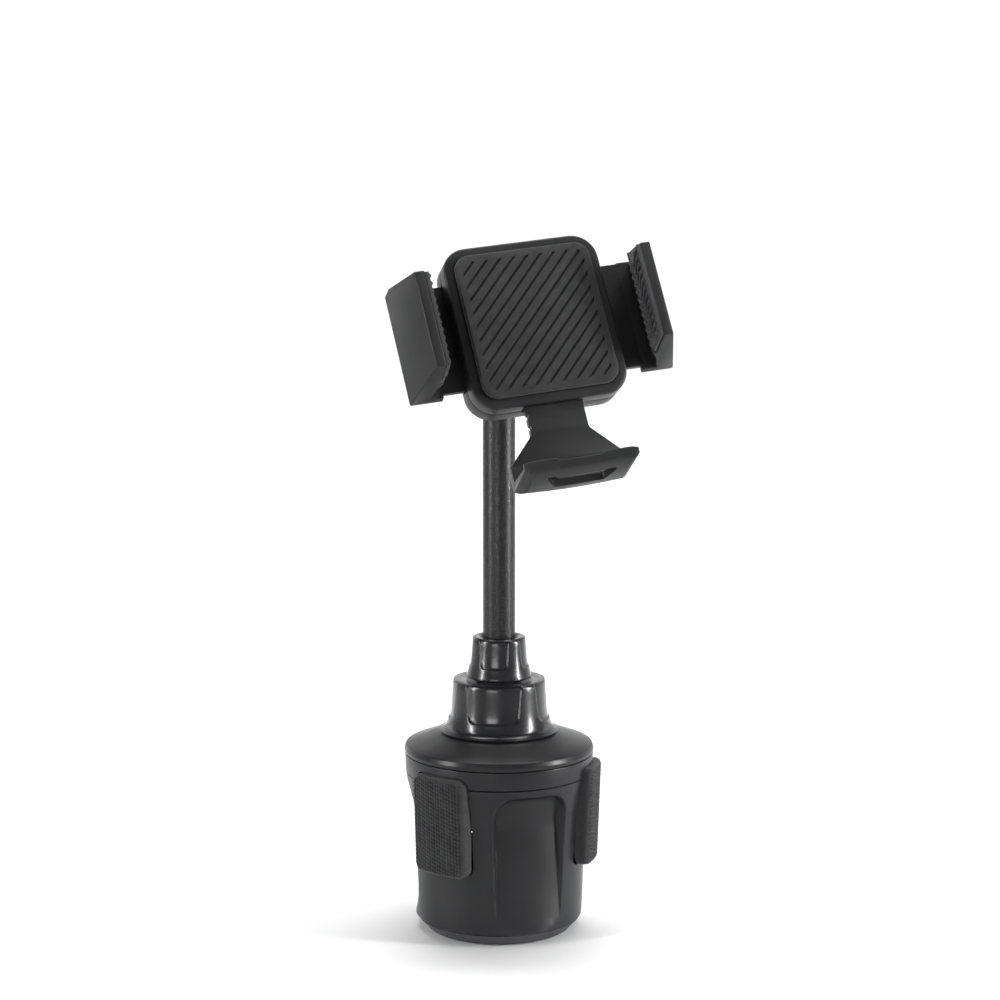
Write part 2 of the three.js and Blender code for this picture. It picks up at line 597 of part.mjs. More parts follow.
function makeArm(side) {
  const bar = solid(panelGeometry(armSection(), -40, 40));
  const body = bar.intersect(solid(sideGeometry(armSide(GRIP.low, GRIP.high), 20, 60)));
  const plate = box(27.4, GRIP.inner + 4, PLATE.bottom, PLATE.top, PLATE.low, PLATE.high);
  // the right arm's rack runs under the pinion and the left arm's over it
  const rack = rackBar(-10, 28, PINION.y - side * PINION.r, -side);
  return geometryOf(join(body, plate, rack));
}

function mirrored(geometry) {
  return geometryOf(solid(geometry.clone().scale(-1, 1, 1)));
}

// Ribbed rubber liner with a tooth at the end of each rib.
function armPadGeometry() {
  const x = GRIP.inner;
  const low = GRIP.low + 0.8;
  const high = GRIP.high - 0.8;
  const ribs = 12;
  const pitch = (high - low) / ribs;
  const edge = [[low, x + ARM.padThick]];
  for (let i = 0; i < ribs; i += 1) {
    const y = low + pitch * i;
    edge.push([y + pitch * 0.1, x + 0.9], [y + pitch * 0.3, x], [y + pitch * 0.7, x],
      [y + pitch * 0.9, x + 0.9]);
  }
  edge.push([high, x + ARM.padThick]);
  const shape = outline(edge.map(([y, across]) => [across, y]));
  return slabGeometry(shape, 28.3, GRIP.lip - 1.9);
}

function makePinion() {
  const shape = [];
  const pitch = TURN / PINION.teeth;
  for (let i = 0; i < PINION.teeth; i += 1) {
    const a = (i + 0.5) * pitch;
    const flank = [[-0.22, 4.7], [-0.16, 5.9], [-0.07, 6.8], [0.07, 6.8], [0.16, 5.9], [0.22, 4.7]];
    for (const [da, r] of flank) shape.push([r * Math.sin(a + da * 0.9), r * Math.cos(a + da * 0.9)]);
  }
  const gear = slab(outline(shape.reverse()), PLATE.low, PLATE.high);
  return cut(join(gear, disc(4.4, PLATE.low - 0.8, 18.9, 24)), disc(2.3, 10, 30, 20));
}

// A flat spiral spring that turns with the pinion and opens the arms.
function makePinionSpring() {
  const outer = [];
  const inner = [];
  const steps = 26;
  for (let i = 0; i <= steps; i += 1) {
    const a = (i / steps) * 2 * TURN;
    const r = 2.7 + (2.1 * i) / steps;
    outer.push([(r + 0.45) * Math.cos(a), (r + 0.45) * Math.sin(a)]);
    inner.unshift([r * Math.cos(a), r * Math.sin(a)]);
  }
  return solid(slabGeometry(outline([...outer, ...inner]), 19.2, 21).translate(0, PINION.y, 0));
}

// ---------------------------------------------------------------- release
function makeReleaseButton() {
  const cap = slab(rounded(-6.1, 16.9, 6.1, 24.1, 1.9, 4), 10.2, 14.4);
  const flange = slab(rounded(-7.6, 15.8, 7.6, 25.2, 1.9, 3), 14.3, 15.5);
  const grooves = [18.6, 20.5, 22.4].map((y) => box(-4.4, 4.4, y - 0.4, y + 0.4, 9, 10.7));
  return cut(join(cap, flange), ...grooves);
}

function makeButtonSpring() {
  const turns = 3;
  const r = 2.4;
  const rise = 4.2;
  const points = Array.from({ length: 25 }, (_, i) => {
    const a = (i / 24) * turns * TURN;
    return new THREE.Vector3(r * Math.cos(a), 20.5 + r * Math.sin(a), 16.2 + (rise * i) / 24);
  });
  const path = new THREE.CatmullRomCurve3(points);
  const wire = outline(Array.from({ length: 5 }, (_, i) => [0.35 * Math.cos(i * 72 * RAD),
    0.35 * Math.sin(i * 72 * RAD)]));
  return solid(new THREE.ExtrudeGeometry(wire, { steps: 30, extrudePath: path, bevelEnabled: false }));
}

const PAWL = { x: -15.4, y: 14.6 };

function makeRatchetPawl() {
  const lever = outline([[-18, 13.4], [-17.4, 12.6], [-11.6, 12.4], [-10.6, 11.8], [-10, 12.4], [-8.6, 13],
    [-8.6, 15.4], [-13.6, 16.8], [-16, 17], [-18, 15.8]]);
  const hole = at(turnedGeometry([[0, 10], [1.3, 10], [1.3, 30], [0, 30]], 16), PAWL.x, PAWL.y);
  return cut(slab(lever, 15.4, 17.8), solid(hole));
}

function makePawlPin() {
  return solid(at(turnedGeometry([[0, 14.3], [1, 14.3], [1, 19.6], [0, 19.6]], 16), PAWL.x, PAWL.y));
}

// ---------------------------------------------------------------- foot
function makeFoot() {
  const half = FOOT.half;
  const section = outline([
    [-52, 18.4], [-61, 18.4], [-62.4, 20], [-63, 23.6], [-61.4, 33], [-60.2, 36.4], [-59, 37.2],
    [-55, 37.2], [-55, 36], [FOOT.top, 35.4], [FOOT.top, 22.1], [-52, 22.1],
  ]);
  const view = outline([
    [half - 1.2, -54.9], [half, -56.4], [half, -58.6], [half - 6.5, -64], [6.5 - half, -64],
    [-half, -58.6], [-half, -56.4], [1.2 - half, -54.9], [-8.4, -54.9], [-7, -56.5], [7, -56.5],
    [8.4, -54.9],
  ]);
  const front = solid(slabGeometry(view, 28, 40));
  const rear = slab(outline([[half, -52], [half, -60], [half - 4, -64], [4 - half, -64], [-half, -60],
    [-half, -52]]), 10, 28.01);
  const tray = solid(sideGeometry(section, -half, half)).intersect(join(front, rear));
  const shoulders = slab(outline([[-half, -52.01], [half, -52.01], [FOOT.bar, -42], [FOOT.bar, FOOT.barTop],
    [6.2, FOOT.barTop], [6.2, -27], [-6.2, -27], [-6.2, FOOT.barTop], [-FOOT.bar, FOOT.barTop],
    [-FOOT.bar, -42]]), FOOT.barLow, FOOT.barHigh);
  const through = solid(slabGeometry(outline([[-12.4, 32.4], [-9.6, 25], [9.6, 25], [12.4, 32.4]]), 50, 70)
    .rotateX(Math.PI / 2));
  const notches = Array.from({ length: 5 }, (_, i) => box(-FOOT.bar - 2, -FOOT.bar + 0.6, -24 - 4 * i,
    -22.6 - 4 * i, FOOT.barLow - 1, FOOT.barHigh + 1));
  return cut(join(tray, shoulders), through, ...notches);
}

function makeFootPad() {
  const deck = box(-18.4, 18.4, FOOT.top + GAP, FOOT.top + 1.6, 23, 34.9);
  const hole = box(-13, 13, -60, -50, 24.4, 33);
  const ribs = Array.from({ length: 6 }, (_, i) => [-17.6 + i * 0.7, 17.6 - i * 0.7])
    .flat().filter((x) => Math.abs(x) > 13.4).map((x) => box(x - 0.12, x + 0.12, -56.3, -55, 22, 36));
  return cut(deck, hole, ...ribs);
}

// ---------------------------------------------------------------- assembly
const mount = new THREE.Group();
const base = new THREE.Group();
mount.add(base);

function numbered(name, count, geometry, angles, material, parent = base) {
  for (let i = 0; i < count; i += 1) {
    const mesh = put(parent, name + "_" + (i + 1), solid(geometry), material);
    mesh.rotation.z = angles[i];
  }
}

function placed(name, places, geometry, z, material, parent = base) {
  places.forEach(([x, y], i) => {
    const mesh = put(parent, name + "_" + (i + 1), solid(geometry), material);
    mesh.position.set(x, y, z);
  });
}

put(base, "cup_shell", makeCupShell(), GLOSS);
put(base, "collar_ring", makeCollarRing(), GLOSS);
put(base, "top_cover", makeTopCover(), GLOSS);
put(base, "bottom_cover", makeBottomCover(), UNDERSIDE);
placed("bottom_screw", SCREW_PLACES, geometryOf(makeScrew(15, 2.4, 1.3)), 0.6, STEEL);
put(base, "guide_frame", makeGuideFrame(), INNER);
put(base, "centre_tube", makeCentreTube(), INNER);
placed("frame_screw", FRAME_SCREW_PLACES, geometryOf(makeScrew(9.5, 2.1, 1.2)), 45.7, STEEL);
put(base, "thrust_washer", ring(9, 11, 62.4, 64.3), NATURAL);
put(base, "cam_disc", makeCamDisc(), NATURAL);
put(base, "expansion_knob", makeExpansionKnob(), GLOSS);
put(base, "lock_knob", makeLockKnob(), GLOSS);
put(base, "clamp_collet", makeClampCollet(), NATURAL);
numbered("pad_carrier", COUNT, carrierGeometry(), PAD_ANGLES, INNER);
numbered("cam_pin", COUNT, pinGeometry(), PAD_ANGLES, STEEL);
numbered("grip_pad", COUNT, padGeometry(), PAD_ANGLES, RUBBER);

put(base, "pole", makePole(), POWDER);
put(base, "pole_plug", makePolePlug(), INNER);
put(base, "pole_head", makePoleHead(), SATIN);
put(base, "ball_stud", makeBallStud(), STEEL);

// yaw, then lean, then spin, each about the middle of the ball
const yaw = new THREE.Group();
yaw.position.copy(ballCentre);
yaw.rotation.z = POSE.yaw * RAD;
const lean = new THREE.Group();
lean.rotation.x = (90 - POSE.lean) * RAD;
const cradle = new THREE.Group();
cradle.rotation.z = POSE.spin * RAD;
mount.add(yaw);
yaw.add(lean);
lean.add(cradle);

put(cradle, "friction_cup", ballShell(12, 52), NATURAL);
put(cradle, "friction_ring", ballShell(98, 128), NATURAL);
put(cradle, "ball_nut", makeBallNut(), SATIN);
put(cradle, "rear_housing", makeRearHousing(), SATIN);
put(cradle, "front_housing", makeFrontHousing(), SATIN);
put(cradle, "front_pad", makeFrontPad(), RUBBER);
placed("housing_screw", HOUSING_SCREWS, geometryOf(makeScrew(9, 2.1, 1.1)), 12.4, STEEL, cradle);
put(cradle, "arm_right", solid(makeArm(1)), SATIN);
put(cradle, "arm_left", solid(mirrored(makeArm(-1))), SATIN);
put(cradle, "arm_pad_right", solid(armPadGeometry()), RUBBER);
put(cradle, "arm_pad_left", solid(mirrored(armPadGeometry())), RUBBER);
const pinion = put(cradle, "pinion", makePinion(), NATURAL);
pinion.position.y = PINION.y;
put(cradle, "pinion_spring", makePinionSpring(), STEEL);
put(cradle, "release_button", makeReleaseButton(), SATIN);
put(cradle, "button_spring", makeButtonSpring(), STEEL);
put(cradle, "ratchet_pawl", makeRatchetPawl(), NATURAL);
put(cradle, "pawl_pin", makePawlPin(), STEEL);
put(cradle, "foot", makeFoot(), SATIN);
put(cradle, "foot_pad", makeFootPad(), RUBBER);

export default mount;
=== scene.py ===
import json
import math

import bmesh
import bpy
from mathutils import Matrix, Vector


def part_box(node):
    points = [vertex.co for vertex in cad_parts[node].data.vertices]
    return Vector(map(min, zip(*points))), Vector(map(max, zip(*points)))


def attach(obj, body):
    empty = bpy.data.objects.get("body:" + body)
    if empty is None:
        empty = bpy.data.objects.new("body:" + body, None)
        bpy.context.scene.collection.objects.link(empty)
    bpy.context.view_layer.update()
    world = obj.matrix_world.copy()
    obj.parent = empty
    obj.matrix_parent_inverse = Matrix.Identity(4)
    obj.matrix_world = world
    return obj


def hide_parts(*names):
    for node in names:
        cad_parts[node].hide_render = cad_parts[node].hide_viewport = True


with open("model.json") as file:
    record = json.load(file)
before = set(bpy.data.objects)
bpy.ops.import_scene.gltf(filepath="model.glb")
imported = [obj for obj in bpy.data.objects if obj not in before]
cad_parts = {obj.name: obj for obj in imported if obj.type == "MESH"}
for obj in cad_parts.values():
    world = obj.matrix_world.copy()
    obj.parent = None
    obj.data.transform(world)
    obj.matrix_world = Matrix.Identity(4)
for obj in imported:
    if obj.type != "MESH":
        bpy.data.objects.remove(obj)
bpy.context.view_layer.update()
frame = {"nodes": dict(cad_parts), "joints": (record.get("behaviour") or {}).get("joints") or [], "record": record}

MM = 0.001
TURN = 2 * math.pi
RAD = math.pi / 180


# ---------------------------------------------------------------- places from the frame
def joint(name):
    return next(j for j in frame["joints"] if j["name"] == name)


def span(node):
    """Lowest and highest height and the radius across X of an upright node, in mm."""
    low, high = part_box(node)
    return low.z / MM, high.z / MM, (high.x - low.x) / 2 / MM


def heading(axis):
    """Angle from the front, positive towards the user's right, of a level direction."""
    return math.atan2(axis[0], -axis[1])


BALL = Vector(joint("ball_tilt")["pos_m"])
CRADLE_X = Vector(joint("arm_right_slide")["axis"]).normalized()
CRADLE_Z = Vector(joint("cradle_spin")["axis"]).normalized()
CRADLE_Y = CRADLE_Z.cross(CRADLE_X)
CRADLE = Matrix.Translation(BALL) @ Matrix((CRADLE_X, CRADLE_Y, CRADLE_Z)).transposed().to_4x4()
TO_CRADLE = CRADLE.inverted()


def cradle_box(node):
    """Lowest and highest corner of a node in the cradle's own frame, in mm."""
    points = [TO_CRADLE @ v.co for v in frame["nodes"][node].data.vertices]
    return [Vector([f(p[i] for p in points) / MM for i in range(3)]) for f in (min, max)]


PAD_ANGLES = [heading(joint(f"pad_{i}_slide")["axis"]) for i in (1, 2, 3)]
SCOOP_TO_PAD = 61 * RAD
SCOOP_ANGLES = [a + SCOOP_TO_PAD for a in PAD_ANGLES]


# ---------------------------------------------------------------- materials
class Shader:
    """A principled material built node by node."""

    def __init__(self, name, roughness, metallic=0.0, ior=1.5):
        self.material = bpy.data.materials.new(name)
        self.material.use_nodes = True
        self.tree = self.material.node_tree
        self.surface = self.tree.nodes["Principled BSDF"]
        self.place = self.node("ShaderNodeTexCoord").outputs["Object"]
        self.value("Roughness", roughness)
        self.value("Metallic", metallic)
        self.value("IOR", ior)

    def node(self, kind, **settings):
        made = self.tree.nodes.new(kind)
        for key, value in settings.items():
            setattr(made, key, value)
        return made

    def value(self, socket, amount):
        self.surface.inputs[socket].default_value = amount

    def link(self, source, target):
        self.tree.links.new(source, target)

    def stretched(self, scale):
        mapping = self.node("ShaderNodeMapping")
        mapping.inputs["Scale"].default_value = scale
        self.link(self.place, mapping.inputs["Vector"])
        return mapping.outputs["Vector"]

    def noise(self, scale, detail=2.0, place=None):
        made = self.node("ShaderNodeTexNoise")
        made.inputs["Scale"].default_value = scale
        made.inputs["Detail"].default_value = detail
        self.link(place or self.place, made.inputs["Vector"])
        return made.outputs["Fac"]

    def cells(self, scale):
        made = self.node("ShaderNodeTexVoronoi")
        made.inputs["Scale"].default_value = scale
        self.link(self.place, made.inputs["Vector"])
        return made.outputs["Distance"]

    def ramp(self, fac, *stops):
        made = self.node("ShaderNodeValToRGB")
        elements = made.color_ramp.elements
        for i, (at, color) in enumerate(stops):
            stop = elements[i] if i < 2 else elements.new(at)
            stop.position = at
            stop.color = (*color, 1.0)
        self.link(fac, made.inputs["Fac"])
        return made.outputs["Color"]

    def spread(self, fac, low, high):
        """fac around its middle, spread from low to high."""
        made = self.node("ShaderNodeMapRange")
        for socket, amount in zip(("From Min", "From Max", "To Min", "To Max"), (0.35, 0.65, low, high)):
            made.inputs[socket].default_value = amount
        self.link(fac, made.inputs["Value"])
        return made.outputs["Result"]

    def mix(self, kind, a, b, amount):
        made = self.node("ShaderNodeMix", data_type="RGBA", blend_type=kind)
        for socket, source in ((0, amount), (6, a), (7, b)):
            if isinstance(source, bpy.types.NodeSocket):
                self.link(source, made.inputs[socket])
            else:
                made.inputs[socket].default_value = source
        return made.outputs[2]

    def edge_highlight_and_wear(self, color, edge, strength):
        """Lightens the ridges: partly wear where hands rub the surface, partly a painted highlight along the
        edges.
        """
        pointy = self.node("ShaderNodeNewGeometry").outputs["Pointiness"]
        highlight_and_wear_mask = self.ramp(pointy, (0.5, (0, 0, 0)), (0.62, (strength, strength, strength)))
        return self.mix("MIX", color, (*edge, 1.0), highlight_and_wear_mask)

    def relief(self, *layers):
        """Bumps stacked on each other: pairs of height source and depth in mm."""
        below = None
        for height, depth in layers:
            made = self.node("ShaderNodeBump")
            made.inputs["Strength"].default_value = 1.0
            made.inputs["Distance"].default_value = depth * MM
            self.link(height, made.inputs["Height"])
            if below:
                self.link(below, made.inputs["Normal"])
            below = made.outputs["Normal"]
        self.link(below, self.surface.inputs["Normal"])

    def finish(self, color, roughness=None):
        self.link(color, self.surface.inputs["Base Color"])
        if roughness:
            self.link(roughness, self.surface.inputs["Roughness"])
        return self.material


def moulded(name, dark, light, rough, grain, depth, coat=0.0, ior=1.36):
    """Moulded plastic: cloudy colour, a fine grain and slightly uneven gloss."""
    s = Shader(name, rough, ior=ior)
    cloud = s.noise(22, 3)
    color = s.ramp(cloud, (0.35, dark), (0.65, light))
    # lighter ridges: rub wear plus a painted highlight along the edges
    color = s.edge_highlight_and_wear(color, tuple(3.2 * c for c in light), 0.35)
    s.value("Coat Weight", coat)
    s.value("Coat Roughness", 0.16)
    s.relief((s.noise(grain, 2), depth), (s.noise(130, 2), depth * 2.2))
    return s.finish(color, s.spread(s.noise(60, 4), rough - 0.05, rough + 0.05))


def rubber(name, dark, light):
    s = Shader(name, 0.74, ior=1.36)
    grain = s.noise(2600, 3)
    color = s.ramp(s.noise(160, 4), (0.3, dark), (0.7, light))
    # lighter ridges: rub wear plus a painted highlight along the edges
    color = s.edge_highlight_and_wear(color, tuple(2.6 * c for c in light), 0.5)
    s.value("Sheen Weight", 0.12)
    s.value("Sheen Roughness", 0.5)
    s.relief((grain, 0.035))
    return s.finish(color, s.spread(s.noise(400, 2), 0.66, 0.82))


def powder(name):
    """Powder coat: an orange-peel skin with lighter flecks."""
    s = Shader(name, 0.36, ior=1.4)
    fleck = s.cells(1500)
    color = s.ramp(fleck, (0.12, (0.036, 0.035, 0.034)), (0.42, (0.0085, 0.0083, 0.0082)))
    s.relief((s.noise(1250, 3), 0.05), (s.cells(1100), 0.03))
    return s.finish(color, s.spread(s.noise(900, 2), 0.3, 0.46))


def steel(name):
    """Turned steel: fine scratches round the axis."""
    s = Shader(name, 0.28, metallic=1.0)
    line = s.noise(240, 4, s.stretched((1, 1, 26)))
    color = s.ramp(line, (0.3, (0.36, 0.36, 0.37)), (0.7, (0.56, 0.57, 0.58)))
    s.relief((line, 0.006))
    return s.finish(color, s.spread(line, 0.22, 0.36))


def pale_floor(name):
    s = Shader(name, 0.7)
    color = s.ramp(s.noise(3, 2), (0.3, (0.86, 0.86, 0.865)), (0.7, (0.88, 0.88, 0.885)))
    return s.finish(color)


DEEP_BLACK = (0.0085, 0.0085, 0.0095)
GLOSS = moulded("gloss_black_plastic", DEEP_BLACK, (0.0115, 0.0115, 0.0128), 0.25, 1700, 0.004, 0.35)
CUP_BLACK = moulded("satin_gloss_plastic", DEEP_BLACK, (0.0120, 0.0120, 0.0132), 0.34, 1900, 0.006)
SATIN_DARK, SATIN_LIGHT = (0.0095, 0.0095, 0.0102), (0.0135, 0.0135, 0.0143)
SATIN = moulded("textured_black_plastic", SATIN_DARK, SATIN_LIGHT, 0.43, 2300, 0.022)
GREY = moulded("underside_grey_plastic", (0.028, 0.028, 0.030), (0.037, 0.037, 0.040), 0.45, 2000, 0.012)
INNER = moulded("inner_grey_plastic", (0.055, 0.056, 0.060), (0.075, 0.076, 0.080), 0.48, 1800, 0.012)
NATURAL = moulded("natural_acetal", (0.60, 0.59, 0.55), (0.70, 0.69, 0.65), 0.42, 1500, 0.006)
RUBBER = rubber("pad_rubber", (0.0125, 0.0125, 0.0135), (0.0205, 0.0205, 0.0215))
POWDER = powder("pole_powder_coat")
STEEL = steel("turned_steel")
FLOOR = pale_floor("pale_floor")

SLOT_LOOKS = {
    "gloss_black": GLOSS, "satin_black": SATIN, "underside_grey": GREY, "inner_plastic": INNER,
    "natural_plastic": NATURAL, "pad_rubber": RUBBER, "powder_coat": POWDER, "steel": STEEL,
}
SLOT_OF = {s["node"]: s["material_slot"] for s in frame["record"]["subparts"]}
BODY_OF = {n: body for body, nodes in frame["record"]["behaviour"]["bodies"].items() for n in nodes}


# ---------------------------------------------------------------- mesh building
def mesh_object(name, points, faces, look, matrix=None, smooth_angle=34):
    """Points in mm, in the row frame or in the frame of matrix."""
    mesh = bpy.data.meshes.new(name)
    placed = [Vector(p) * MM for p in points]
    if matrix:
        placed = [matrix @ p for p in placed]
    mesh.from_pydata(placed, [], faces)
    return finish_mesh(name, mesh, look, smooth_angle)


def finish_mesh(name, mesh, look, smooth_angle=34):
    """Closes up, orients and shades a mesh, and links it as an object."""
    bm = bmesh.new()
    bm.from_mesh(mesh)
    bmesh.ops.remove_doubles(bm, verts=bm.verts, dist=1e-6)
    bmesh.ops.dissolve_degenerate(bm, edges=bm.edges, dist=1e-7)
    bmesh.ops.recalc_face_normals(bm, faces=bm.faces)
    bmesh.ops.delete(bm, geom=[e for e in bm.edges if not e.link_faces], context="EDGES")
    for face in bm.faces:
        face.smooth = True
    bm.to_mesh(mesh)
    bm.free()
    mesh.set_sharp_from_angle(angle=smooth_angle * RAD)
    mesh.materials.clear()
    mesh.materials.append(look)
    piece = bpy.data.objects.new(name, mesh)
    bpy.context.scene.collection.objects.link(piece)
    return piece


def fillet(points, steps=4):
    """A profile of (x, y) or (x, y, radius) corners, with arcs at the corners that have one."""
    out = []
    count = len(points)
    for i, corner in enumerate(points):
        p = Vector(corner[:2])
        r = corner[2] if len(corner) > 2 else 0
        a = Vector(points[i - 1][:2]) - p
        b = Vector(points[(i + 1) % count][:2]) - p
        if not r or a.length < 1e-6 or b.length < 1e-6:
            out.append(tuple(p))
            continue
        half = a.angle(b) / 2
        reach = min(r / math.tan(half), 0.49 * a.length, 0.49 * b.length)
        start = p + a.normalized() * reach
        end = p + b.normalized() * reach
        for k in range(steps + 1):
            t = k / steps
            out.append(tuple((1 - t) ** 2 * start + 2 * t * (1 - t) * p + t * t * end))
    return out


def resample(points, step):
    """Adds points along an open run so that no stretch is longer than step."""
    out = []
    for p, q in zip(points, points[1:]):
        a, b = Vector(p[:2]), Vector(q[:2])
        parts = max(1, math.ceil((b - a).length / step))
        out += [tuple(a.lerp(b, k / parts)) for k in range(parts)]
    return out + [tuple(points[-1][:2])]


def smoothed(points, passes=2):
    """Rounds an open run by cutting its corners, keeping both ends."""
    for _ in range(passes):
        inner = [points[0]]
        for p, q in zip(points, points[1:]):
            a, b = Vector(p), Vector(q)
            inner += [tuple(a.lerp(b, 0.25)), tuple(a.lerp(b, 0.75))]
        points = inner + [points[-1]]
    return points


def columns(fine, fine_step=0.6, coarse_step=3.0):
    """Angles round an axis: fine steps inside the (centre, half width) sectors, coarse elsewhere."""
    out = []
    angle = 0.0
    while angle < 360 - 1e-6:
        out.append(angle * RAD)
        near = any(abs((angle - c / RAD + 180) % 360 - 180) < h / RAD for c, h in fine)
        angle += fine_step if near else coarse_step
    return out


def revolve(name, profile, look, angles=96, shape=None, matrix=None, smooth_angle=34):
    """Turns a closed (radius, height) profile about Z. shape(angle, r, z) may change the radius."""
    if isinstance(angles, int):
        angles = [i * TURN / angles for i in range(angles)]
    points = []
    for angle in angles:
        c, s = math.sin(angle), -math.cos(angle)
        for r, z in profile:
            r = shape(angle, r, z) if shape and r > 0 else r
            points.append((r * c, r * s, z))
    faces = []
    rows = len(profile)
    for i in range(len(angles)):
        j = (i + 1) % len(angles)
        for k in range(rows):
            m = (k + 1) % rows
            faces.append((i * rows + k, j * rows + k, j * rows + m, i * rows + m))
    return mesh_object(name, points, faces, look, matrix, smooth_angle)


def slab_mesh(outline, low, high):
    bm = bmesh.new()
    bottom = [bm.verts.new((x, y, low)) for x, y in outline]
    top = [bm.verts.new((x, y, high)) for x, y in outline]
    bm.faces.new(reversed(bottom))
    bm.faces.new(top)
    for i in range(len(outline)):
        j = (i + 1) % len(outline)
        bm.faces.new((bottom[i], bottom[j], top[j], top[i]))
    return bm


def slab(name, outline, low, high, look, bevel=0.4, matrix=None, cutters=(), cut_bevel=0.0, segments=3):
    """An outline in X and Y from z = low to high with rounded edges and openings cut through it."""
    bm = slab_mesh(outline, low, high)
    return machined(name, bm, look, bevel, matrix, cutters, cut_bevel, segments)


def machined(name, bm, look, bevel, matrix=None, cutters=(), cut_bevel=0.0, segments=3):
    """Rounds the edges of a mesh in mm, cuts the openings and puts it in place."""
    bmesh.ops.recalc_face_normals(bm, faces=bm.faces)
    mesh = bpy.data.meshes.new(name)
    bm.to_mesh(mesh)
    bm.free()
    piece = bpy.data.objects.new(name, mesh)
    bpy.context.scene.collection.objects.link(piece)
    if bevel:
        add_bevel(piece, bevel, segments)
    for cutter in cutters:
        boolean(piece, cutter, "DIFFERENCE")
    if cut_bevel:
        add_bevel(piece, cut_bevel, 2)
    done = baked_mesh(piece)
    bpy.data.objects.remove(piece)
    for cutter in cutters:
        bpy.data.objects.remove(cutter)
    scale = Matrix.Scale(MM, 4)
    done.transform((matrix or Matrix.Identity(4)) @ scale)
    return finish_mesh(name, done, look)


def add_bevel(piece, width, segments):
    made = piece.modifiers.new("round_edges", "BEVEL")
    made.width = width
    made.segments = segments
    made.limit_method = "ANGLE"
    made.angle_limit = 32 * RAD
    made.use_clamp_overlap = True


def boolean(piece, other, operation):
    made = piece.modifiers.new("openings", "BOOLEAN")
    made.object = other
    made.operation = operation
    made.solver = "EXACT"


def baked_mesh(piece):
    """The mesh of a piece with its modifiers applied."""
    bpy.context.view_layer.update()
    shown = piece.evaluated_get(bpy.context.evaluated_depsgraph_get())
    return bpy.data.meshes.new_from_object(shown)


def tool(bm, matrix=None):
    """A temporary object that cuts an opening. It is removed after use."""
    bmesh.ops.recalc_face_normals(bm, faces=bm.faces)
    mesh = bpy.data.meshes.new("tool")
    bm.to_mesh(mesh)
    bm.free()
    if matrix:
        mesh.transform(matrix)
    made = bpy.data.objects.new("tool", mesh)
    bpy.context.scene.collection.objects.link(made)
    return made


def rounded(x0, y0, x1, y1, r, steps=6):
    out = []
    corners = ((x1 - r, y1 - r, 0), (x0 + r, y1 - r, 90), (x0 + r, y0 + r, 180), (x1 - r, y0 + r, 270))
    for cx, cy, start in corners:
        for i in range(steps + 1):
            a = (start + 90 * i / steps) * RAD
            out.append((cx + r * math.cos(a), cy + r * math.sin(a)))
    return out


def circle(x, y, r, count=32):
    return [(x + r * math.cos(i * TURN / count), y + r * math.sin(i * TURN / count)) for i in range(count)]


def blend(low, high, t):
    t = min(max(t, 0.0), 1.0)
    return low + (high - low) * t * t * (3 - 2 * t)


def between(z, table):
    """Straight-line value of a table of (height, value) at z."""
    if z <= table[0][0]:
        return table[0][1]
    for (z0, v0), (z1, v1) in zip(table, table[1:]):
        if z <= z1:
            return v0 + (v1 - v0) * (z - z0) / (z1 - z0)
    return table[-1][1]


def settle(piece, *nodes):
    """The piece stands for these nodes and moves with their body."""
    node = nodes[0]
    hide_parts(*nodes)
    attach(piece, BODY_OF[node])
    return piece


# ---------------------------------------------------------------- camera, floor and lights
def add_camera():
    data = bpy.data.cameras.new("camera")
    data.lens = 86.4
    data.sensor_width = 36
    camera = bpy.data.objects.new("camera", data)
    camera.location = (0.00035, -0.875, 0.2826)
    camera.rotation_euler = (82.1 * RAD, 0, 0)
    bpy.context.scene.collection.objects.link(camera)
    bpy.context.scene.camera = camera


def add_floor():
    """A round studio sweep: a level floor that curves up all round."""
    profile = [(0, 0), (2300, 0)]
    profile += [(2300 + 900 * math.sin(a * RAD), 900 - 900 * math.cos(a * RAD)) for a in range(8, 91, 8)]
    profile += [(3200, 2600), (3230, 2600), (3230, -30), (0, -30)]
    floor = revolve("studio_floor", profile, FLOOR, 72, smooth_angle=60)


def add_light(name, place, size, power, spread=180, target=(0, 0, 0.16)):
    data = bpy.data.lights.new(name, "AREA")
    data.shape = "RECTANGLE"
    data.size, data.size_y = size
    data.energy = power
    data.spread = spread * RAD
    light = bpy.data.objects.new(name, data)
    light.location = place
    away = Vector(place) - Vector(target)
    light.rotation_euler = away.to_track_quat("Z", "Y").to_euler()
    bpy.context.scene.collection.objects.link(light)


def add_lights():
    add_light("left_softbox", (-0.97, -0.46, 0.42), (0.1, 1.1), 1.7, 60)
    add_light("right_softbox", (1.03, -0.28, 0.38), (0.12, 1.1), 3.0, 60)
    add_light("backdrop_light", (0, 0.5, 1.6), (1.4, 0.4), 48, 150, (0, 2.3, 0.1))
    add_light("front_fill", (-0.4, -1.35, 0.13), (0.6, 0.16), 0.75, 90, (0, 0, 0.1))
    add_light("top_softbox", (0.1, 0.15, 1.35), (1.0, 0.8), 10)
    add_light("back_left_softbox", (-1.0, 0.9, 0.6), (0.5, 1.0), 1.4)
    add_light("back_right_softbox", (1.1, 0.8, 0.6), (0.5, 1.0), 1.4)
    world = bpy.data.worlds.new("studio")
    world.use_nodes = True
    background = world.node_tree.nodes["Background"]
    background.inputs["Color"].default_value = (1.0, 1.0, 1.0, 1.0)
    background.inputs["Strength"].default_value = 0.09
    bpy.context.scene.world = world
    bpy.context.scene.view_settings.view_transform = "Standard"


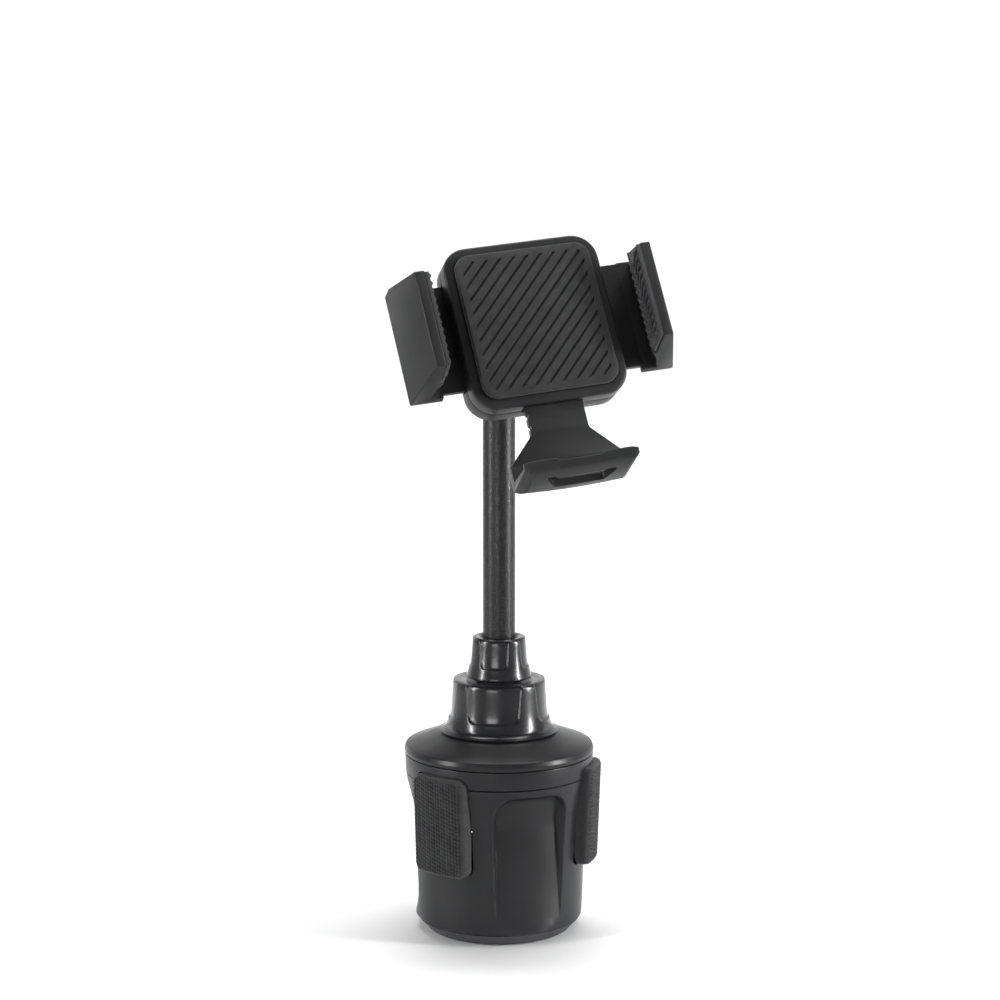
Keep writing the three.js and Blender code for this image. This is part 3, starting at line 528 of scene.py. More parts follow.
# ---------------------------------------------------------------- cup
CUP_LOW, CUP_HIGH, _ = span("cup_shell")
WALL = 2.4
SIDE = [(5, 30.9), (9.9, 31.2), (21.3, 31.6), (30.6, 32), (40, 32.4), (44.5, 32.6), (49, 33.1), (52.4, 33.7),
        (57, 34.4), (59.85, 34.8)]
SCOOP_HALF, SCOOP_FOOT, SCOOP_TOP, SCOOP_CORNER, SCOOP_SHIFT = 14.3, 12.9, 57.5, 8.0, 16.0
SCOOP_FLOOR = [(4.6, 31.4), (9, 30.4), (18, 29.4), (30, 28.7), (44, 28.1)]
CEILING_LOW, CEILING_RISE, CEILING_OUT = 44.0, 13.5, 7.4
FOOT_BULGE = 0.5


def scoop_edge(x, z, grow=0.0):
    """Distance outside (positive) or inside the scoop's arched outline, in mm."""
    half = between(z, [(CUP_LOW, SCOOP_FOOT), (48, SCOOP_HALF)]) + grow
    dx = abs(x) - (half - SCOOP_CORNER)
    dz = z - (SCOOP_TOP + grow - SCOOP_CORNER)
    if dx > 0 and dz > 0:
        return math.hypot(dx, dz) - SCOOP_CORNER
    return max(dx, dz) - SCOOP_CORNER


def scoop_radius(offset, z):
    if z <= CEILING_LOW:
        depth = between(z, SCOOP_FLOOR)
    else:
        rise = min((z - CEILING_LOW) / CEILING_RISE, 1)
        depth = SCOOP_FLOOR[-1][1] + CEILING_OUT * (1 - math.sqrt(1 - rise * rise))
    far = (depth + SCOOP_SHIFT) ** 2 - (SCOOP_SHIFT * math.sin(offset)) ** 2
    return math.sqrt(far) - SCOOP_SHIFT * math.cos(offset)


def nearest(angle, centres):
    offsets = [(angle - c + math.pi) % TURN - math.pi for c in centres]
    return min(offsets, key=abs)


def cup_shape(angle, r, z):
    """The scoops, sunk into the side with a small round at their rim."""
    offset = nearest(angle, SCOOP_ANGLES)
    if abs(offset) > 40 * RAD:
        return r
    side = between(z, SIDE)
    inner = r < side - 1
    thickness = WALL if inner else side - r
    edge = scoop_edge(side * math.sin(offset), z, WALL if inner else 0)
    sunk = scoop_radius(offset, z) - thickness
    soft = 0.5 if z > CEILING_LOW else 0.35
    full = side - thickness
    x = side * math.sin(offset) / SCOOP_FOOT
    sunk = min(sunk, full + FOOT_BULGE * max(0.0, 1 - x * x) * blend(1, 0, (z - CUP_LOW) / 12))
    return blend(sunk, full, (edge + 2 * soft) / (2 * soft))


def window_cutter(angle, half, low, high, corner):
    turn = Matrix.Rotation(angle, 4, "Z") @ Matrix.Rotation(90 * RAD, 4, "X")
    return tool(slab_mesh(rounded(-half, low, half, high, corner, 8), 25, 45), turn)


def cut_windows(piece, half=12.05, low=26.8, high=64.0, corner=3.5):
    """Opens the pad windows in a finished piece."""
    scale = Matrix.Scale(MM, 4)
    cutters = [window_cutter(a, half, low, high, corner) for a in PAD_ANGLES]
    for cutter in cutters:
        cutter.data.transform(scale)
        boolean(piece, cutter, "DIFFERENCE")
    look = piece.data.materials[0]
    name = piece.name
    done = baked_mesh(piece)
    for old in (piece, *cutters):
        bpy.data.objects.remove(old)
    made = finish_mesh(name + "_cut", done, look)
    made.name = name
    return made


def make_cup():
    low, high = CUP_LOW, CUP_HIGH
    heights = [low + 0.05 + i * 1.6 for i in range(25)]
    heights = [z for z in heights if z < CEILING_LOW - 0.5]
    heights += [CEILING_LOW + i * 0.45 for i in range(32)]
    heights = [z for z in heights if z < high - 0.3]
    outer = [(between(low, SIDE) - 0.35, low), (between(low, SIDE) - 0.1, low + 0.12)]
    outer += [(between(z, SIDE), z) for z in heights if z > low + 0.3]
    outer += [(between(high, SIDE) - 0.05, high - 0.25), (between(high, SIDE) - 0.28, high)]
    inner = [(between(z, SIDE) - WALL, z) for z in (high, 56, 50, 46, 42, 30, 18, low)]
    fine = [(a, 30 * RAD) for a in SCOOP_ANGLES]
    angles = columns(fine, 0.6, 2.0)
    cup = revolve("cup_shell_visual", outer + inner, CUP_BLACK, angles, cup_shape, smooth_angle=50)
    settle(cut_windows(cup), "cup_shell")


def make_collar():
    low, high, r = span("collar_ring")
    base = CUP_HIGH + 0.3
    profile = fillet([(r - 4.7, low), (r - 3, low), (r - 3, base), (r - 0.2, base, 0.3), (r, high, 0.3),
                      (r - 2.6, high), (r - 2.6, base + 2), (r - 4.7, base + 2)])
    ring = revolve("collar_ring_visual", profile, CUP_BLACK, 216)
    settle(cut_windows(ring), "collar_ring")


def make_top_cover():
    """The shoulder: a rounded rim and a gently dished cone up to the knob."""
    low, high, r = span("top_cover")
    seam = 67.15
    hole = 15.0
    cone = [(34.1, 70.45), (31, 71.55), (28, 72.5), (24.6, 73.7), (21.6, high - 0.25), (21.2, high)]
    profile = fillet([(32.2, low), (32.2, seam), (35.12, seam, 0.25), (r, 68.5, 0.5), (34.75, 70.15, 0.9)]
                     + cone[1:] + [(hole, high), (hole, high - 2.7), (20, high - 2.7), (27.5, 70.2),
                                   (30.6, 68.8), (30.6, low)], 6)
    settle(revolve("top_cover_visual", profile, CUP_BLACK, 216), "top_cover")


def make_bottom_cover():
    """Grey underside with a rounded chamfer, a moulded ring and three screw recesses."""
    high = CUP_LOW - 0.3
    profile = [(0, 0), (17, 0), (17.5, 0.6), (19, 0.6), (19.5, 0), (24.4, 0), (25.6, 0.16), (26.8, 0.6),
               (30.2, high - 0.5), (30.45, high - 0.1), (30.3, high), (27.9, high), (25.6, 2.4), (0, 2.4)]
    plate = revolve("bottom_cover_visual", profile, GREY, 144)
    places = [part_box(f"bottom_screw_{i}") for i in (1, 2, 3)]
    cutters = []
    for a, b in places:
        x, y = (a.x + b.x) / 2 / MM, (a.y + b.y) / 2 / MM
        cutters.append(tool(slab_mesh(circle(x, y, 2.8), -2, 6), Matrix.Scale(MM, 4)))
    for cutter in cutters:
        boolean(plate, cutter, "DIFFERENCE")
    done = baked_mesh(plate)
    for old in (plate, *cutters):
        bpy.data.objects.remove(old)
    made = finish_mesh("bottom_cover_visual_cut", done, GREY)
    made.name = "bottom_cover_visual"
    settle(made, "bottom_cover")


# ---------------------------------------------------------------- knobs
def panel_depth(angle, z, r, first, half_top, half_low, low, corner, depth):
    """How far a knob's skin is sunk at a grip panel that is open at its top."""
    offset = nearest(angle, [first + i * 90 * RAD for i in range(4)])
    x = abs(r * math.sin(offset))
    half = between(z, [(low, half_low), (low + 14, half_top)])
    dx = x - (half - corner)
    dz = (low + corner) - z
    edge = math.hypot(max(dx, 0), max(dz, 0)) - corner if dx > 0 and dz > 0 else max(dx, dz) - corner
    return depth * blend(1, 0, (edge + 0.7) / 0.7)


def make_expansion_knob():
    low, high, _ = span("expansion_knob")
    foot = 75.5
    skin = [(22.3, foot), (20.6, foot + 0.75), (19.75, 77.3), (19.25, 78.6), (18.9, 80), (18.45, 83),
            (18.15, 88), (17.95, high - 1.9), (17.75, high - 0.7), (17.1, high - 0.15), (16.3, high)]
    ring = [(10.6, high), (10.1, high - 0.5), (10.1, high - 1.6), (9.1, high - 1.6), (9.1, 67.8),
            (10.8, 67.8), (10.8, 92), (15.4, 92), (16.2, 80), (17, 78.4), (18, foot)]
    profile = resample(smoothed(skin), 0.42) + ring
    first = -7 * RAD

    def shape(angle, r, z):
        if r < 17.05 or z < 79:
            return r
        return r - panel_depth(angle, z, 18.2, first, 10.7, 9.3, 80.1, 2.6, 0.62)

    fine = [(first + i * 90 * RAD, 44 * RAD) for i in range(4)]
    knob = revolve("expansion_knob_visual", profile, GLOSS, columns(fine, 1.0, 1.0), shape, smooth_angle=50)
    settle(knob, "expansion_knob")


def make_lock_knob():
    low, high, _ = span("lock_knob")
    skin = [(11.7, low), (12.05, low + 0.3), (12.0, low + 1.0), (11.6, low + 2.4), (11.15, low + 4.4),
            (10.8, low + 7.5), (10.55, low + 11), (10.4, high - 1.3), (10.1, high - 0.45), (9.3, high)]
    bore = [(7.6, high), (6.9, high - 0.5), (6.4, high - 1.2), (6.4, 108), (9, 105.6), (9, low)]
    first = -11 * RAD

    def shape(angle, r, z):
        if r < 9.9 or z < low + 3:
            return r
        return r - panel_depth(angle, z, 10.6, first, 6.1, 5.1, 99.3, 1.7, 0.45)

    profile = resample(smoothed(skin), 0.36) + bore
    knob = revolve("lock_knob_visual", profile, GLOSS, columns([], 1, 1.5), shape, smooth_angle=50)
    settle(knob, "lock_knob")


# ---------------------------------------------------------------- grip pads
KNIT_DEPTH = 0.6


def knit(x, z):
    """Height of the moulded knit: staggered slanting stitches in narrow columns."""
    column_pitch, stitch = 1.17, 1.5
    column = math.floor(x / column_pitch)
    u = x / column_pitch - column - 0.5
    slant = 0.34 if column % 2 else -0.34
    stagger = (0.25 if column % 2 else 0.0) + 0.5 * (column // 2 % 2)
    v = (z + slant * u * column_pitch * 1.6) / stitch + stagger
    v = v - math.floor(v) - 0.5
    across = max(0.0, 1 - (2 * u) ** 4)
    along = max(0.0, 1 - (2.15 * v) ** 4)
    return KNIT_DEPTH * across * along


def make_grip_pad(index):
    node = f"grip_pad_{index}"
    half, low, high, back, top, bottom = 11.7, 27.0, 63.4, 32.2, 38.2, 36.9
    step = 0.23
    corner, rim = 3.2, 0.9
    across = round(2 * half / step)
    up = round((high - low) / step)

    def outline(x, z):
        """Pulls the edge of the grid in to the rounded corners."""
        mid = (low + high) / 2
        hx, hz = half - corner, (high - low) / 2 - corner
        dx, dz = abs(x) - hx, abs(z - mid) - hz
        if dx > 0 and dz > 0:
            length = math.hypot(dx, dz)
            k = max(dx, dz) / length
            dx, dz = dx * k, dz * k
            x = math.copysign(hx + dx, x)
            z = mid + math.copysign(hz + dz, z - mid)
            return x, z, corner - max(abs(dx / k), abs(dz / k))
        return x, z, corner - max(dx, dz)

    points = []
    for j in range(up + 1):
        for i in range(across + 1):
            x, z, inset = outline(-half + 2 * half * i / across, low + (high - low) * j / up)
            r = bottom + (top - bottom) * (z - low) / (high - low)
            round_off = rim - math.sqrt(max(rim * rim - max(rim - inset, 0) ** 2, 0))
            r -= KNIT_DEPTH + round_off - knit(x, z) * blend(0, 1, (inset - 0.5) / 0.6)
            points.append((x, -math.sqrt(max(r * r - x * x, 1)), z))
    front = len(points)
    row = across + 1
    faces = [(j * row + i, j * row + i + 1, (j + 1) * row + i + 1, (j + 1) * row + i)
             for j in range(up) for i in range(across)]
    border = [i for i in range(row)] + [j * row + across for j in range(1, up + 1)]
    border += [up * row + i for i in range(across - 1, -1, -1)] + [j * row for j in range(up - 1, 0, -1)]
    for depth in (0, 1):
        for b in border:
            x, y, z = points[b]
            r = back + 0.35 if depth else math.hypot(x, y) - 0.9
            points.append((x, -math.sqrt(max(r * r - x * x, 1)), z))
    count = len(border)
    for k in range(count):
        m = (k + 1) % count
        faces.append((border[k], front + k, front + m, border[m]))
        faces.append((front + k, front + count + k, front + count + m, front + m))
    faces.append(tuple(front + count + k for k in range(count)))
    turn = Matrix.Rotation(PAD_ANGLES[index - 1], 4, "Z")
    pad = mesh_object(node + "_visual", points, faces, RUBBER, turn, 60)
    settle(pad, node)


# ---------------------------------------------------------------- pole, head and ball
def make_pole():
    low, high, r = span("pole")
    profile = fillet([(4.8, low), (r, low, 0.4), (r, high, 0.4), (4.8, high)])
    settle(revolve("pole_visual", profile, POWDER, 96), "pole")


def make_pole_head():
    """Cap on the pole with a boss that reaches forward to the ball stud."""
    low, high, _ = span("pole_head")
    base = span("pole")[1] + 0.3
    top = base + 15.2
    cap = [(0, low), (4.4, low), (4.5, base), (6.1, base), (6.4, base + 0.4), (6.4, base + 10.6)]
    cap += [(6.4 * math.cos(a * RAD), base + 10.6 + 4.6 * math.sin(a * RAD)) for a in range(10, 90, 10)]
    cap += [(0, top)]
    head = revolve("pole_head_visual", cap, SATIN, 96)
    flat = Vector((-BALL.x, -BALL.y, 0)).normalized()
    stud = (flat * math.cos(30 * RAD) + Vector((0, 0, -math.sin(30 * RAD)))).normalized()
    length = Vector((BALL.x, BALL.y)).length / math.cos(30 * RAD) / MM
    turn = Matrix.Translation(BALL) @ stud.to_track_quat("Z", "Y").to_matrix().to_4x4()
    reach = fillet([(0, 14.8), (5, 14.8, 0.8), (5, length), (0, length)])
    boss = revolve("boss", reach, SATIN, 48, matrix=turn)
    boolean(head, boss, "UNION")
    done = baked_mesh(head)
    for old in (head, boss):
        bpy.data.objects.remove(old)
    made = finish_mesh("pole_head_cut", done, SATIN)
    made.name = "pole_head_visual"
    settle(made, "pole_head")
    r, neck = 8.5, 2.9
    ball = [(r * math.sin(a * RAD), -r * math.cos(a * RAD)) for a in range(0, 160, 5)]
    ball += [(neck, 8.3), (neck, 14.6), (0, 14.6)]
    settle(revolve("ball_stud_visual", ball, STEEL, 64, matrix=turn), "ball_stud")


def make_ball_nut():
    """Clamp nut: a fluted ring with a rounded mouth round the ball."""
    seat = 10.7
    cavity = [(seat * math.sin(a * RAD), seat * math.cos(a * RAD)) for a in range(131, 95, -5)]
    outer = fillet([(12.8, 8.6), (14.7, 8.6, 0.6), (15, 7.6), (15, -2.4, 0.8), (13.2, -5.4, 0.6),
                    (11.2, -7.6, 0.6), (9.3, -7.6, 0.3)] + cavity + [(12.8, -1.4)])
    profile = resample(outer, 0.8)

    def shape(angle, r, z):
        if r < 12.9 or z < -3.2:
            return r
        flute = max(0.0, math.cos(16 * angle)) ** 2
        return r - 0.6 * flute * blend(0, 1, (z + 3.2) / 2) * blend(0, 1, (8.7 - z) / 0.8)

    nut = revolve("ball_nut_visual", profile, SATIN, 192, shape, CRADLE, 50)
    settle(nut, "ball_nut")


# ---------------------------------------------------------------- cradle housing
_, REAR_HIGH = cradle_box("rear_housing")
FRONT_LOW, FRONT_HIGH = cradle_box("front_housing")
HALF = FRONT_HIGH.x
HOUSING_CORNER = 9.0
PLATE_LOW, PLATE_HIGH = 15.3, 17.9
PLATE_BOTTOM, PLATE_TOP = -21.5, 17.5


def housing_outline(inset=0.0, steps=8):
    low, high = FRONT_LOW.y + inset, FRONT_HIGH.y - inset
    return rounded(-HALF + inset, low, HALF - inset, high, HOUSING_CORNER - inset, steps)


def box_tool(x0, x1, y0, y1, z0, z1):
    return tool(slab_mesh([(x0, y0), (x1, y0), (x1, y1), (x0, y1)], z0, z1))


def screw_places():
    out = []
    for i in (1, 2, 3, 4):
        low, high = cradle_box(f"housing_screw_{i}")
        out.append(((low.x + high.x) / 2, (low.y + high.y) / 2))
    return out


def make_rear_housing():
    back, split = 12.0, REAR_HIGH.z
    cutters = [
        tool(slab_mesh(housing_outline(2), back + 2, split + 2)),
        box_tool(-40, 40, PLATE_BOTTOM - 0.4, PLATE_TOP + 0.4, PLATE_LOW - 0.4, 30),
        box_tool(-10.9, 10.9, -40, -28, 17.5, 30),
        tool(slab_mesh(rounded(-6.4, 16.6, 6.4, 24.4, 2.2), 0, 16)),
        tool(slab_mesh(rounded(-19, -24.6, -14.2, 12, 2.2), back - 2, back + 0.6)),
        tool(slab_mesh(rounded(14.2, -24.6, 19, 12, 2.2), back - 2, back + 0.6)),
    ]
    cutters += [tool(slab_mesh(circle(x, y, 2.5), 0, 14.1)) for x, y in screw_places()]
    shell = slab("rear_housing_visual", housing_outline(), back, split, SATIN, 1.1, CRADLE, cutters,
                 segments=4)
    settle(shell, "rear_housing")
    dome = [(10.7 * math.sin(a * RAD), 10.7 * math.cos(a * RAD)) for a in range(93, 20, -6)]
    collar = fillet([(10.7, -0.6), (11.9, -0.6), (12.4, -0.1), (12.4, 9.5), (13.6, 11.2), (16.5, back + 0.3),
                     (4.2, back + 0.3)]) + list(reversed(dome))
    socket = revolve("ball_socket_visual", collar, SATIN, 96, matrix=CRADLE)
    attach(socket, "cradle")


def make_front_housing():
    low, high = FRONT_LOW.z, FRONT_HIGH.z
    cutters = [
        tool(slab_mesh(housing_outline(2), low - 2, high - 2)),
        tool(slab_mesh(housing_outline(3.2), high - 0.7, high + 2)),
        box_tool(-10.9, 10.9, -40, -28, 10, 22.5),
    ]
    shell = slab("front_housing_visual", housing_outline(), low, high, SATIN, 0.9, CRADLE, cutters,
                 segments=4)
    settle(shell, "front_housing")


def make_front_pad():
    """Soft rest with slanting ribs inside a plain border."""
    low, high = cradle_box("front_pad")
    base, top = low.z, high.z
    cutters = []
    pitch, width = 3.5, 0.9
    inner = housing_outline(6.2)
    for i in range(-14, 15):
        turn = Matrix.Rotation(45 * RAD, 4, "Z")
        groove = [(-60, -width / 2), (60, -width / 2), (60, width / 2), (-60, width / 2)]
        bar = slab_mesh(groove, top - 0.55, top + 1)
        placed = Matrix.Translation((i * pitch * math.sqrt(2), 0, 0)) @ turn
        strip = tool(bar, placed)
        keep = tool(slab_mesh(inner, top - 2, top + 2))
        boolean(strip, keep, "INTERSECT")
        cut_mesh = baked_mesh(strip)
        for old in (strip, keep):
            bpy.data.objects.remove(old)
        if len(cut_mesh.polygons):
            part = bpy.data.objects.new("tool", cut_mesh)
            bpy.context.scene.collection.objects.link(part)
            cutters.append(part)
    pad = slab("front_pad_visual", housing_outline(3.6), base, top, RUBBER, 0.6, CRADLE, cutters)
    settle(pad, "front_pad")


def screw_profile(z, head, shank, length):
    """A domed head that faces down at z, and a plain shank with a point."""
    return fillet([(0, z), (head - 0.5, z, 0.2), (head, z + 0.5, 0.3), (head, z + 1.7), (shank, z + 1.9),
                   (shank, z + length - 0.5), (0, z + length)])


def make_housing_screws():
    for i, (x, y) in enumerate(screw_places(), 1):
        low, _ = cradle_box(f"housing_screw_{i}")
        z = low.z
        head = screw_profile(z, 2.1, 1.1, 9)
        place = CRADLE @ Matrix.Translation(Vector((x, y, 0)) * MM)
        screw_with_cross(f"housing_screw_{i}", head, z, place)


def make_base_screws():
    for i in (1, 2, 3):
        a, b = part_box(f"bottom_screw_{i}")
        z = a.z / MM
        head = screw_profile(z, 2.4, 1.3, 15)
        place = Matrix.Translation(((a.x + b.x) / 2, (a.y + b.y) / 2, 0))
        screw_with_cross(f"bottom_screw_{i}", head, z, place)


def screw_with_cross(node, head, z, place):
    """A screw with a cross recess in its head, which faces down at z."""
    screw = revolve(node + "_plain", head, STEEL, 32)
    scale = Matrix.Scale(MM, 4)
    arm, thick = 1.25, 0.3
    bars = [box_tool(-x, x, -y, y, z - 1, z + 0.8) for x, y in ((arm, thick), (thick, arm))]
    for bar in bars:
        bar.data.transform(scale)
        boolean(screw, bar, "DIFFERENCE")
    done = baked_mesh(screw)
    for old in (screw, *bars):
        bpy.data.objects.remove(old)
    done.transform(place)
    settle(finish_mesh(node + "_visual", done, STEEL), node)


def make_release_button():
    low, high = cradle_box("release_button")
    cap_high = 14.4
    outline = rounded(-6.1, 16.9, 6.1, 24.1, 1.9)
    grooves = [tool(slab_mesh(rounded(-4.4, y - 0.4, 4.4, y + 0.4, 0.39, 4), low.z - 1, low.z + 0.5))
               for y in (18.6, 20.5, 22.4)]
    cap = slab("release_button_visual", outline, low.z, cap_high, SATIN, 0.6, CRADLE, grooves)
    settle(cap, "release_button")
    rim = rounded(-7.6, 15.8, 7.6, 25.2, 1.9)
    flange = slab("release_flange_visual", rim, cap_high, high.z, SATIN, 0.2, CRADLE)
    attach(flange, "release_button")


# ---------------------------------------------------------------- arms
GRIP_INNER, LIP, ARM_LOW, ARM_HIGH = 37.15, 39.0, -18.6, 16.2
ARM_WIDTH, ARM_FLARE, GRIP_PAD = 5.6, 5.9, 2.0
END_SLOPE = 4.8 / (LIP - PLATE_LOW)  # the lower end leans outwards towards the back


def arm_section():
    """Section across the cradle: lip, side wall flaring back, foot and a thick inner wall."""
    x = GRIP_INNER
    return [
        (x + GRIP_PAD + 0.05, LIP), (x + ARM_WIDTH, LIP), (x + ARM_WIDTH + ARM_FLARE, PLATE_LOW + 0.7),
        (x + ARM_WIDTH + ARM_FLARE - 0.5, PLATE_LOW), (x - 0.6, PLATE_LOW), (x - 0.6, PLATE_HIGH),
        (x + 4.6, PLATE_HIGH), (x + 3, 24), (x + 0.8, 27.2), (x + GRIP_PAD + 0.3, 28),
    ]


def arm_body():
    """The section run up the cradle and cut by the slanting ends."""
    bm = bmesh.new()
    ends = [[bm.verts.new((x, y, z)) for x, z in arm_section()] for y in (-60, 60)]
    bm.faces.new(ends[0])
    bm.faces.new(reversed(ends[1]))
    for i in range(len(ends[0])):
        j = (i + 1) % len(ends[0])
        bm.faces.new((ends[0][i], ends[1][i], ends[1][j], ends[0][j]))
    depth = LIP - PLATE_LOW
    planes = [
        ((0, ARM_LOW, LIP), (0, -depth, 4.8)),
        ((0, ARM_HIGH, LIP), (0, depth - 4.4, 2.4)),
        ((0, ARM_HIGH + 2.4, PLATE_LOW + 4.4), (0, 4.4, -1.6)),
    ]
    for point, outward in planes:
        shave(bm, point, outward)
    return bm


def shave(bm, point, outward):
    """Cuts off what lies beyond a plane and closes the cut."""
    geometry = bm.verts[:] + bm.edges[:] + bm.faces[:]
    cut = bmesh.ops.bisect_plane(bm, geom=geometry, plane_co=point, plane_no=outward, clear_outer=True)
    edges = [e for e in cut["geom_cut"] if isinstance(e, bmesh.types.BMEdge)]
    bmesh.ops.contextual_create(bm, geom=edges)


def rack_outline(side, x0=-10.0, x1=28.0):
    """Rack with straight-flanked teeth along the pinion side."""
    pitch = TURN * 6 / 12
    tooth = -1 - side * 6
    way = -side
    root, back = tooth + way * 1.2, tooth + way * 6.4
    points = [(x0, root)]
    i = math.ceil((x0 + 0.8) / pitch)
    while i * pitch < x1 - 0.8:
        x = i * pitch
        tip = tooth - way * 0.8
        points += [(x - 0.75, root), (x - 0.3, tip), (x + 0.3, tip), (x + 0.75, root)]
        i += 1
    return points + [(x1, root), (x1, back), (x0, back)]


def make_arm(side):
    name = "arm_right" if side > 0 else "arm_left"
    mirror = CRADLE @ Matrix.Diagonal((side, 1, 1, 1))
    body = machined(name + "_visual", arm_body(), SATIN, 0.42, mirror, segments=3)
    settle(body, name)
    plate = slab(name + "_plate_visual", rounded(27.4, PLATE_BOTTOM, GRIP_INNER + 0.4, PLATE_TOP, 0.6),
                 PLATE_LOW + 0.02, PLATE_HIGH - 0.02, SATIN, 0.25, mirror)
    rack = slab(name + "_rack_visual", rack_outline(side), PLATE_LOW + 0.05, PLATE_HIGH - 0.05, SATIN, 0.0,
                mirror)
    for part in (plate, rack):
        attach(part, name)


def chevron(y, depth_low, depth_high, x0, x1, width):
    """One zig-zag rib of the arm's rubber, running from the lip to the back."""
    steps = 14
    bm = bmesh.new()
    rings = []
    for k in range(steps + 1):
        t = k / steps
        z = depth_high + (depth_low - depth_high) * t
        wave = 2.2 * blend(0, 1, (t - 0.68) / 0.3) - 3.4 * blend(0, 1, (t - 0.18) / 0.45)
        mid = max(y + wave, ARM_LOW - (LIP - z) * END_SLOPE + 2 * width)
        ring = [bm.verts.new((x1, mid - width, z)), bm.verts.new((x0 + 0.25, mid - width * 0.75, z)),
                bm.verts.new((x0, mid - width * 0.3, z)), bm.verts.new((x0, mid + width * 0.3, z)),
                bm.verts.new((x0 + 0.25, mid + width * 0.75, z)), bm.verts.new((x1, mid + width, z))]
        rings.append(ring)
    for a, b in zip(rings, rings[1:]):
        for i in range(6):
            j = (i + 1) % 6
            bm.faces.new((a[i], a[j], b[j], b[i]))
    bm.faces.new(rings[0])
    bm.faces.new(reversed(rings[-1]))
    return bm


def make_arm_pad(side):
    name = "arm_pad_right" if side > 0 else "arm_pad_left"
    mirror = CRADLE @ Matrix.Diagonal((side, 1, 1, 1))
    low, high = ARM_LOW + 0.35, ARM_HIGH - 0.5
    x = GRIP_INNER
    strip = [(x + 1.0, 28.35), (x + GRIP_PAD, 28.35), (x + GRIP_PAD, LIP - 0.15), (x + 0.55, LIP - 0.15),
             (x + 0.75, LIP - 1.3), (x + 1.0, LIP - 2.0)]
    bm = bmesh.new()
    ends = []
    for end, lean in ((low, END_SLOPE), (high, -0.12)):
        ends.append([bm.verts.new((px, end - (LIP - pz) * lean, pz)) for px, pz in strip])
    bm.faces.new(ends[0])
    bm.faces.new(reversed(ends[1]))
    for i in range(len(strip)):
        j = (i + 1) % len(strip)
        bm.faces.new((ends[0][i], ends[1][i], ends[1][j], ends[0][j]))
    backing = machined(name + "_visual", bm, RUBBER, 0.15, mirror, segments=2)
    settle(backing, name)
    count = 12
    pitch = (high - low) / count
    for i in range(count):
        y = low + pitch * (i + 0.5)
        shape = chevron(y, 28.4, LIP - 0.5, x, x + 1.15, pitch * 0.3)
        rib = machined(f"{name}_rib_{i + 1}", shape, RUBBER, 0, mirror)
        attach(rib, "arm_right" if side > 0 else "arm_left")


# ---------------------------------------------------------------- foot
def make_foot():
    low, high = cradle_box("foot")
    half = high.x
    stations = 60
    top, lip = -57.6, high.z
    points = []
    for i in range(stations + 1):
        x = -half + 2 * half * i / stations
        u = abs(x) / half
        horn = blend(0, 1, (abs(x) - 7.2) / 2.2)
        horn_y = -56.5 + 0.9 * horn - 5 * max(0, u - 0.9)
        belly = 0.75 * (1 - u * u)
        front_y = -59.2 - 0.35 * belly
        low_y = -62.1 - belly
        section = [
            (-52.0, 18.4), (-52.0, 22.1), (top, 22.1), (top, 35.2), (horn_y, 35.9), (horn_y, lip - 0.5),
            (horn_y - 0.45, lip), (front_y, lip), (front_y - 0.7, lip - 0.8),
            (min(low_y + 0.8, front_y - 0.9), 31.0), (min(low_y + 0.3, front_y - 1.1), 27.6),
            (low_y, 24.2), (low_y + 0.05, 22.6), (low_y + 0.6, 20.2), (low_y + 1.8, 18.4),
        ]
        points.append([(x, y, z) for y, z in section])
    rows = len(points[0])
    flat = [p for section in points for p in section]
    faces = []
    for i in range(stations):
        for k in range(rows):
            m = (k + 1) % rows
            faces.append((i * rows + k, (i + 1) * rows + k, (i + 1) * rows + m, i * rows + m))
    faces.append(tuple(range(rows)))
    faces.append(tuple(stations * rows + k for k in reversed(range(rows))))
    bm = bmesh.new()
    verts = [bm.verts.new(p) for p in flat]
    for f in faces:
        bm.faces.new([verts[k] for k in f])
    for way in (-1, 1):
        shave(bm, (way * half, -58.4, lip), (way * 5.4, -6.5, 0.7))
    slot_shape = fillet([(-12.6, 33.2, 0.8), (-8.6, 26.0, 1.0), (9.6, 26.0, 1.0), (13.2, 33.2, 0.8)], 5)
    lay = Matrix.Rotation(90 * RAD, 4, "X")
    through = tool(slab_mesh(slot_shape, 52, 70), lay)
    tray = machined("foot_visual", bm, SATIN, 0.28, CRADLE, [through], segments=2)
    settle(tray, "foot")
    lay_bar = fillet([(-9.2, 32.0, 0.6), (-6.8, 28.2, 0.8), (7.6, 28.2, 0.8), (9.8, 32.0, 0.6)], 4)
    plug = slab("foot_slot_bar", lay_bar, 58.6, 61.0, SATIN, 0.4, CRADLE @ lay, segments=2)
    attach(plug, "foot")
    make_foot_bar(half)


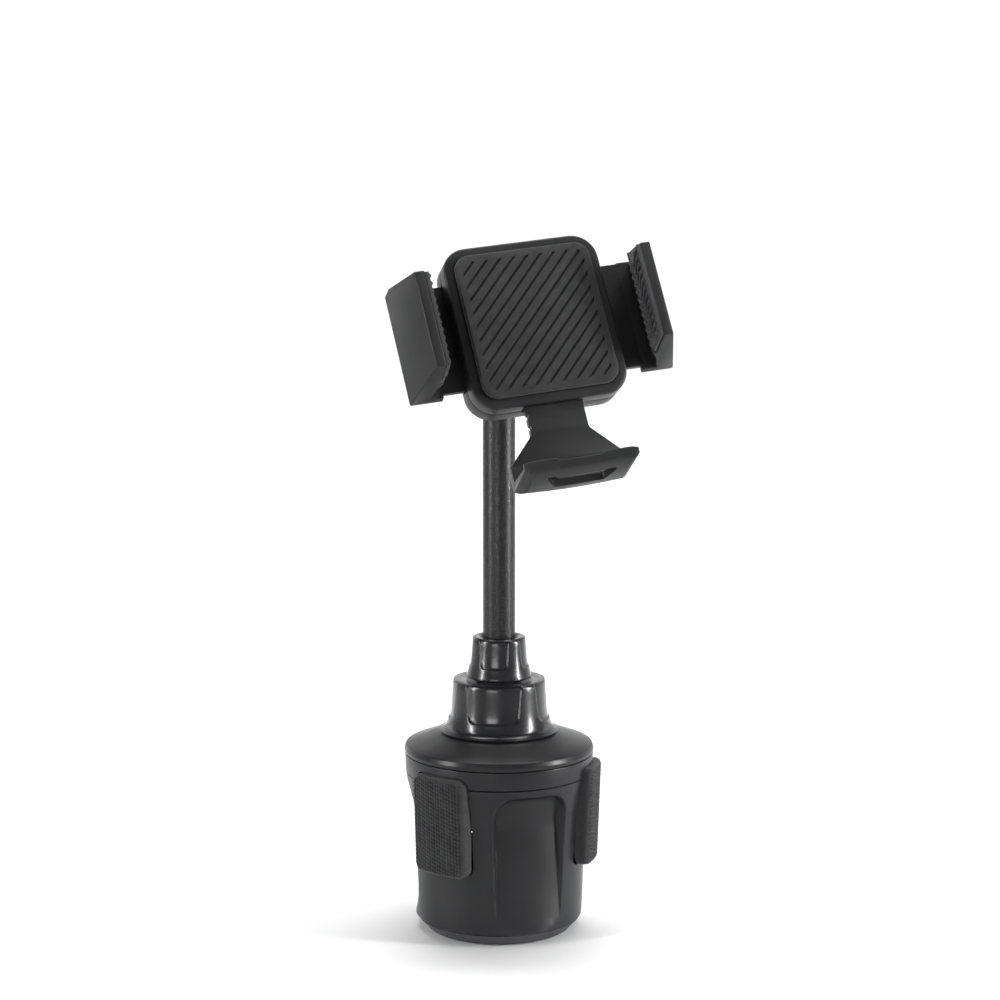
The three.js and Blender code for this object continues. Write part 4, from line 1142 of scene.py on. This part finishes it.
def make_foot_bar(half):
    """The flat bar that slides in the housing, with its click notches."""
    low, high = 19.5, 22.1
    bar, top = 10.5, -13.0
    slit, slit_end = 6.2, -27
    outline = fillet([(-half, -52.3, 0.6), (half, -52.3, 0.6), (bar, -42, 2), (bar, top, 0.8),
                      (slit, top, 0.8), (slit, slit_end, 1.5), (-slit, slit_end, 1.5), (-slit, top, 0.8),
                      (-bar, top, 0.8), (-bar, -42, 2)], 5)
    notches = []
    for i in range(5):
        notch = rounded(-bar - 2, -24 - 4 * i, -bar + 0.6, -22.6 - 4 * i, 0.5, 3)
        notches.append(tool(slab_mesh(notch, low - 1, high + 1)))
    piece = slab("foot_bar_visual", outline, low, high, SATIN, 0.3, CRADLE, notches)
    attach(piece, "foot")


def make_foot_pad():
    low, high = cradle_box("foot_pad")
    outline = rounded(low.x, low.z, high.x, high.z, 1.4)
    lay = Matrix.Rotation(90 * RAD, 4, "X")
    hole = tool(slab_mesh(rounded(-13, 24.4, 13, 33, 1.2), 50, 70))
    grooves = []
    for x in [15 + 0.9 * i for i in range(4)]:
        for way in (-1, 1):
            line = rounded(way * x - 0.22, low.z + 1.4, way * x + 0.22, high.z - 1.4, 0.2, 3)
            grooves.append(tool(slab_mesh(line, -high.y - 1, -high.y + 0.35)))
    pad = slab("foot_pad_visual", outline, -high.y, -low.y, RUBBER, 0.35, CRADLE @ lay, [hole, *grooves])
    settle(pad, "foot_pad")


# ---------------------------------------------------------------- carried-over CAD nodes
def dress_cad_nodes():
    for node, piece in frame["nodes"].items():
        piece.data.materials.clear()
        piece.data.materials.append(SLOT_LOOKS[SLOT_OF[node]])


add_camera()
dress_cad_nodes()
add_floor()
add_lights()
make_cup()
make_collar()
make_top_cover()
make_bottom_cover()
make_base_screws()
make_expansion_knob()
make_lock_knob()
for number in (1, 2, 3):
    make_grip_pad(number)
make_pole()
make_pole_head()
make_ball_nut()
make_rear_housing()
make_front_housing()
make_front_pad()
make_housing_screws()
make_release_button()
for way in (1, -1):
    make_arm(way)
    make_arm_pad(way)
make_foot()
make_foot_pad()
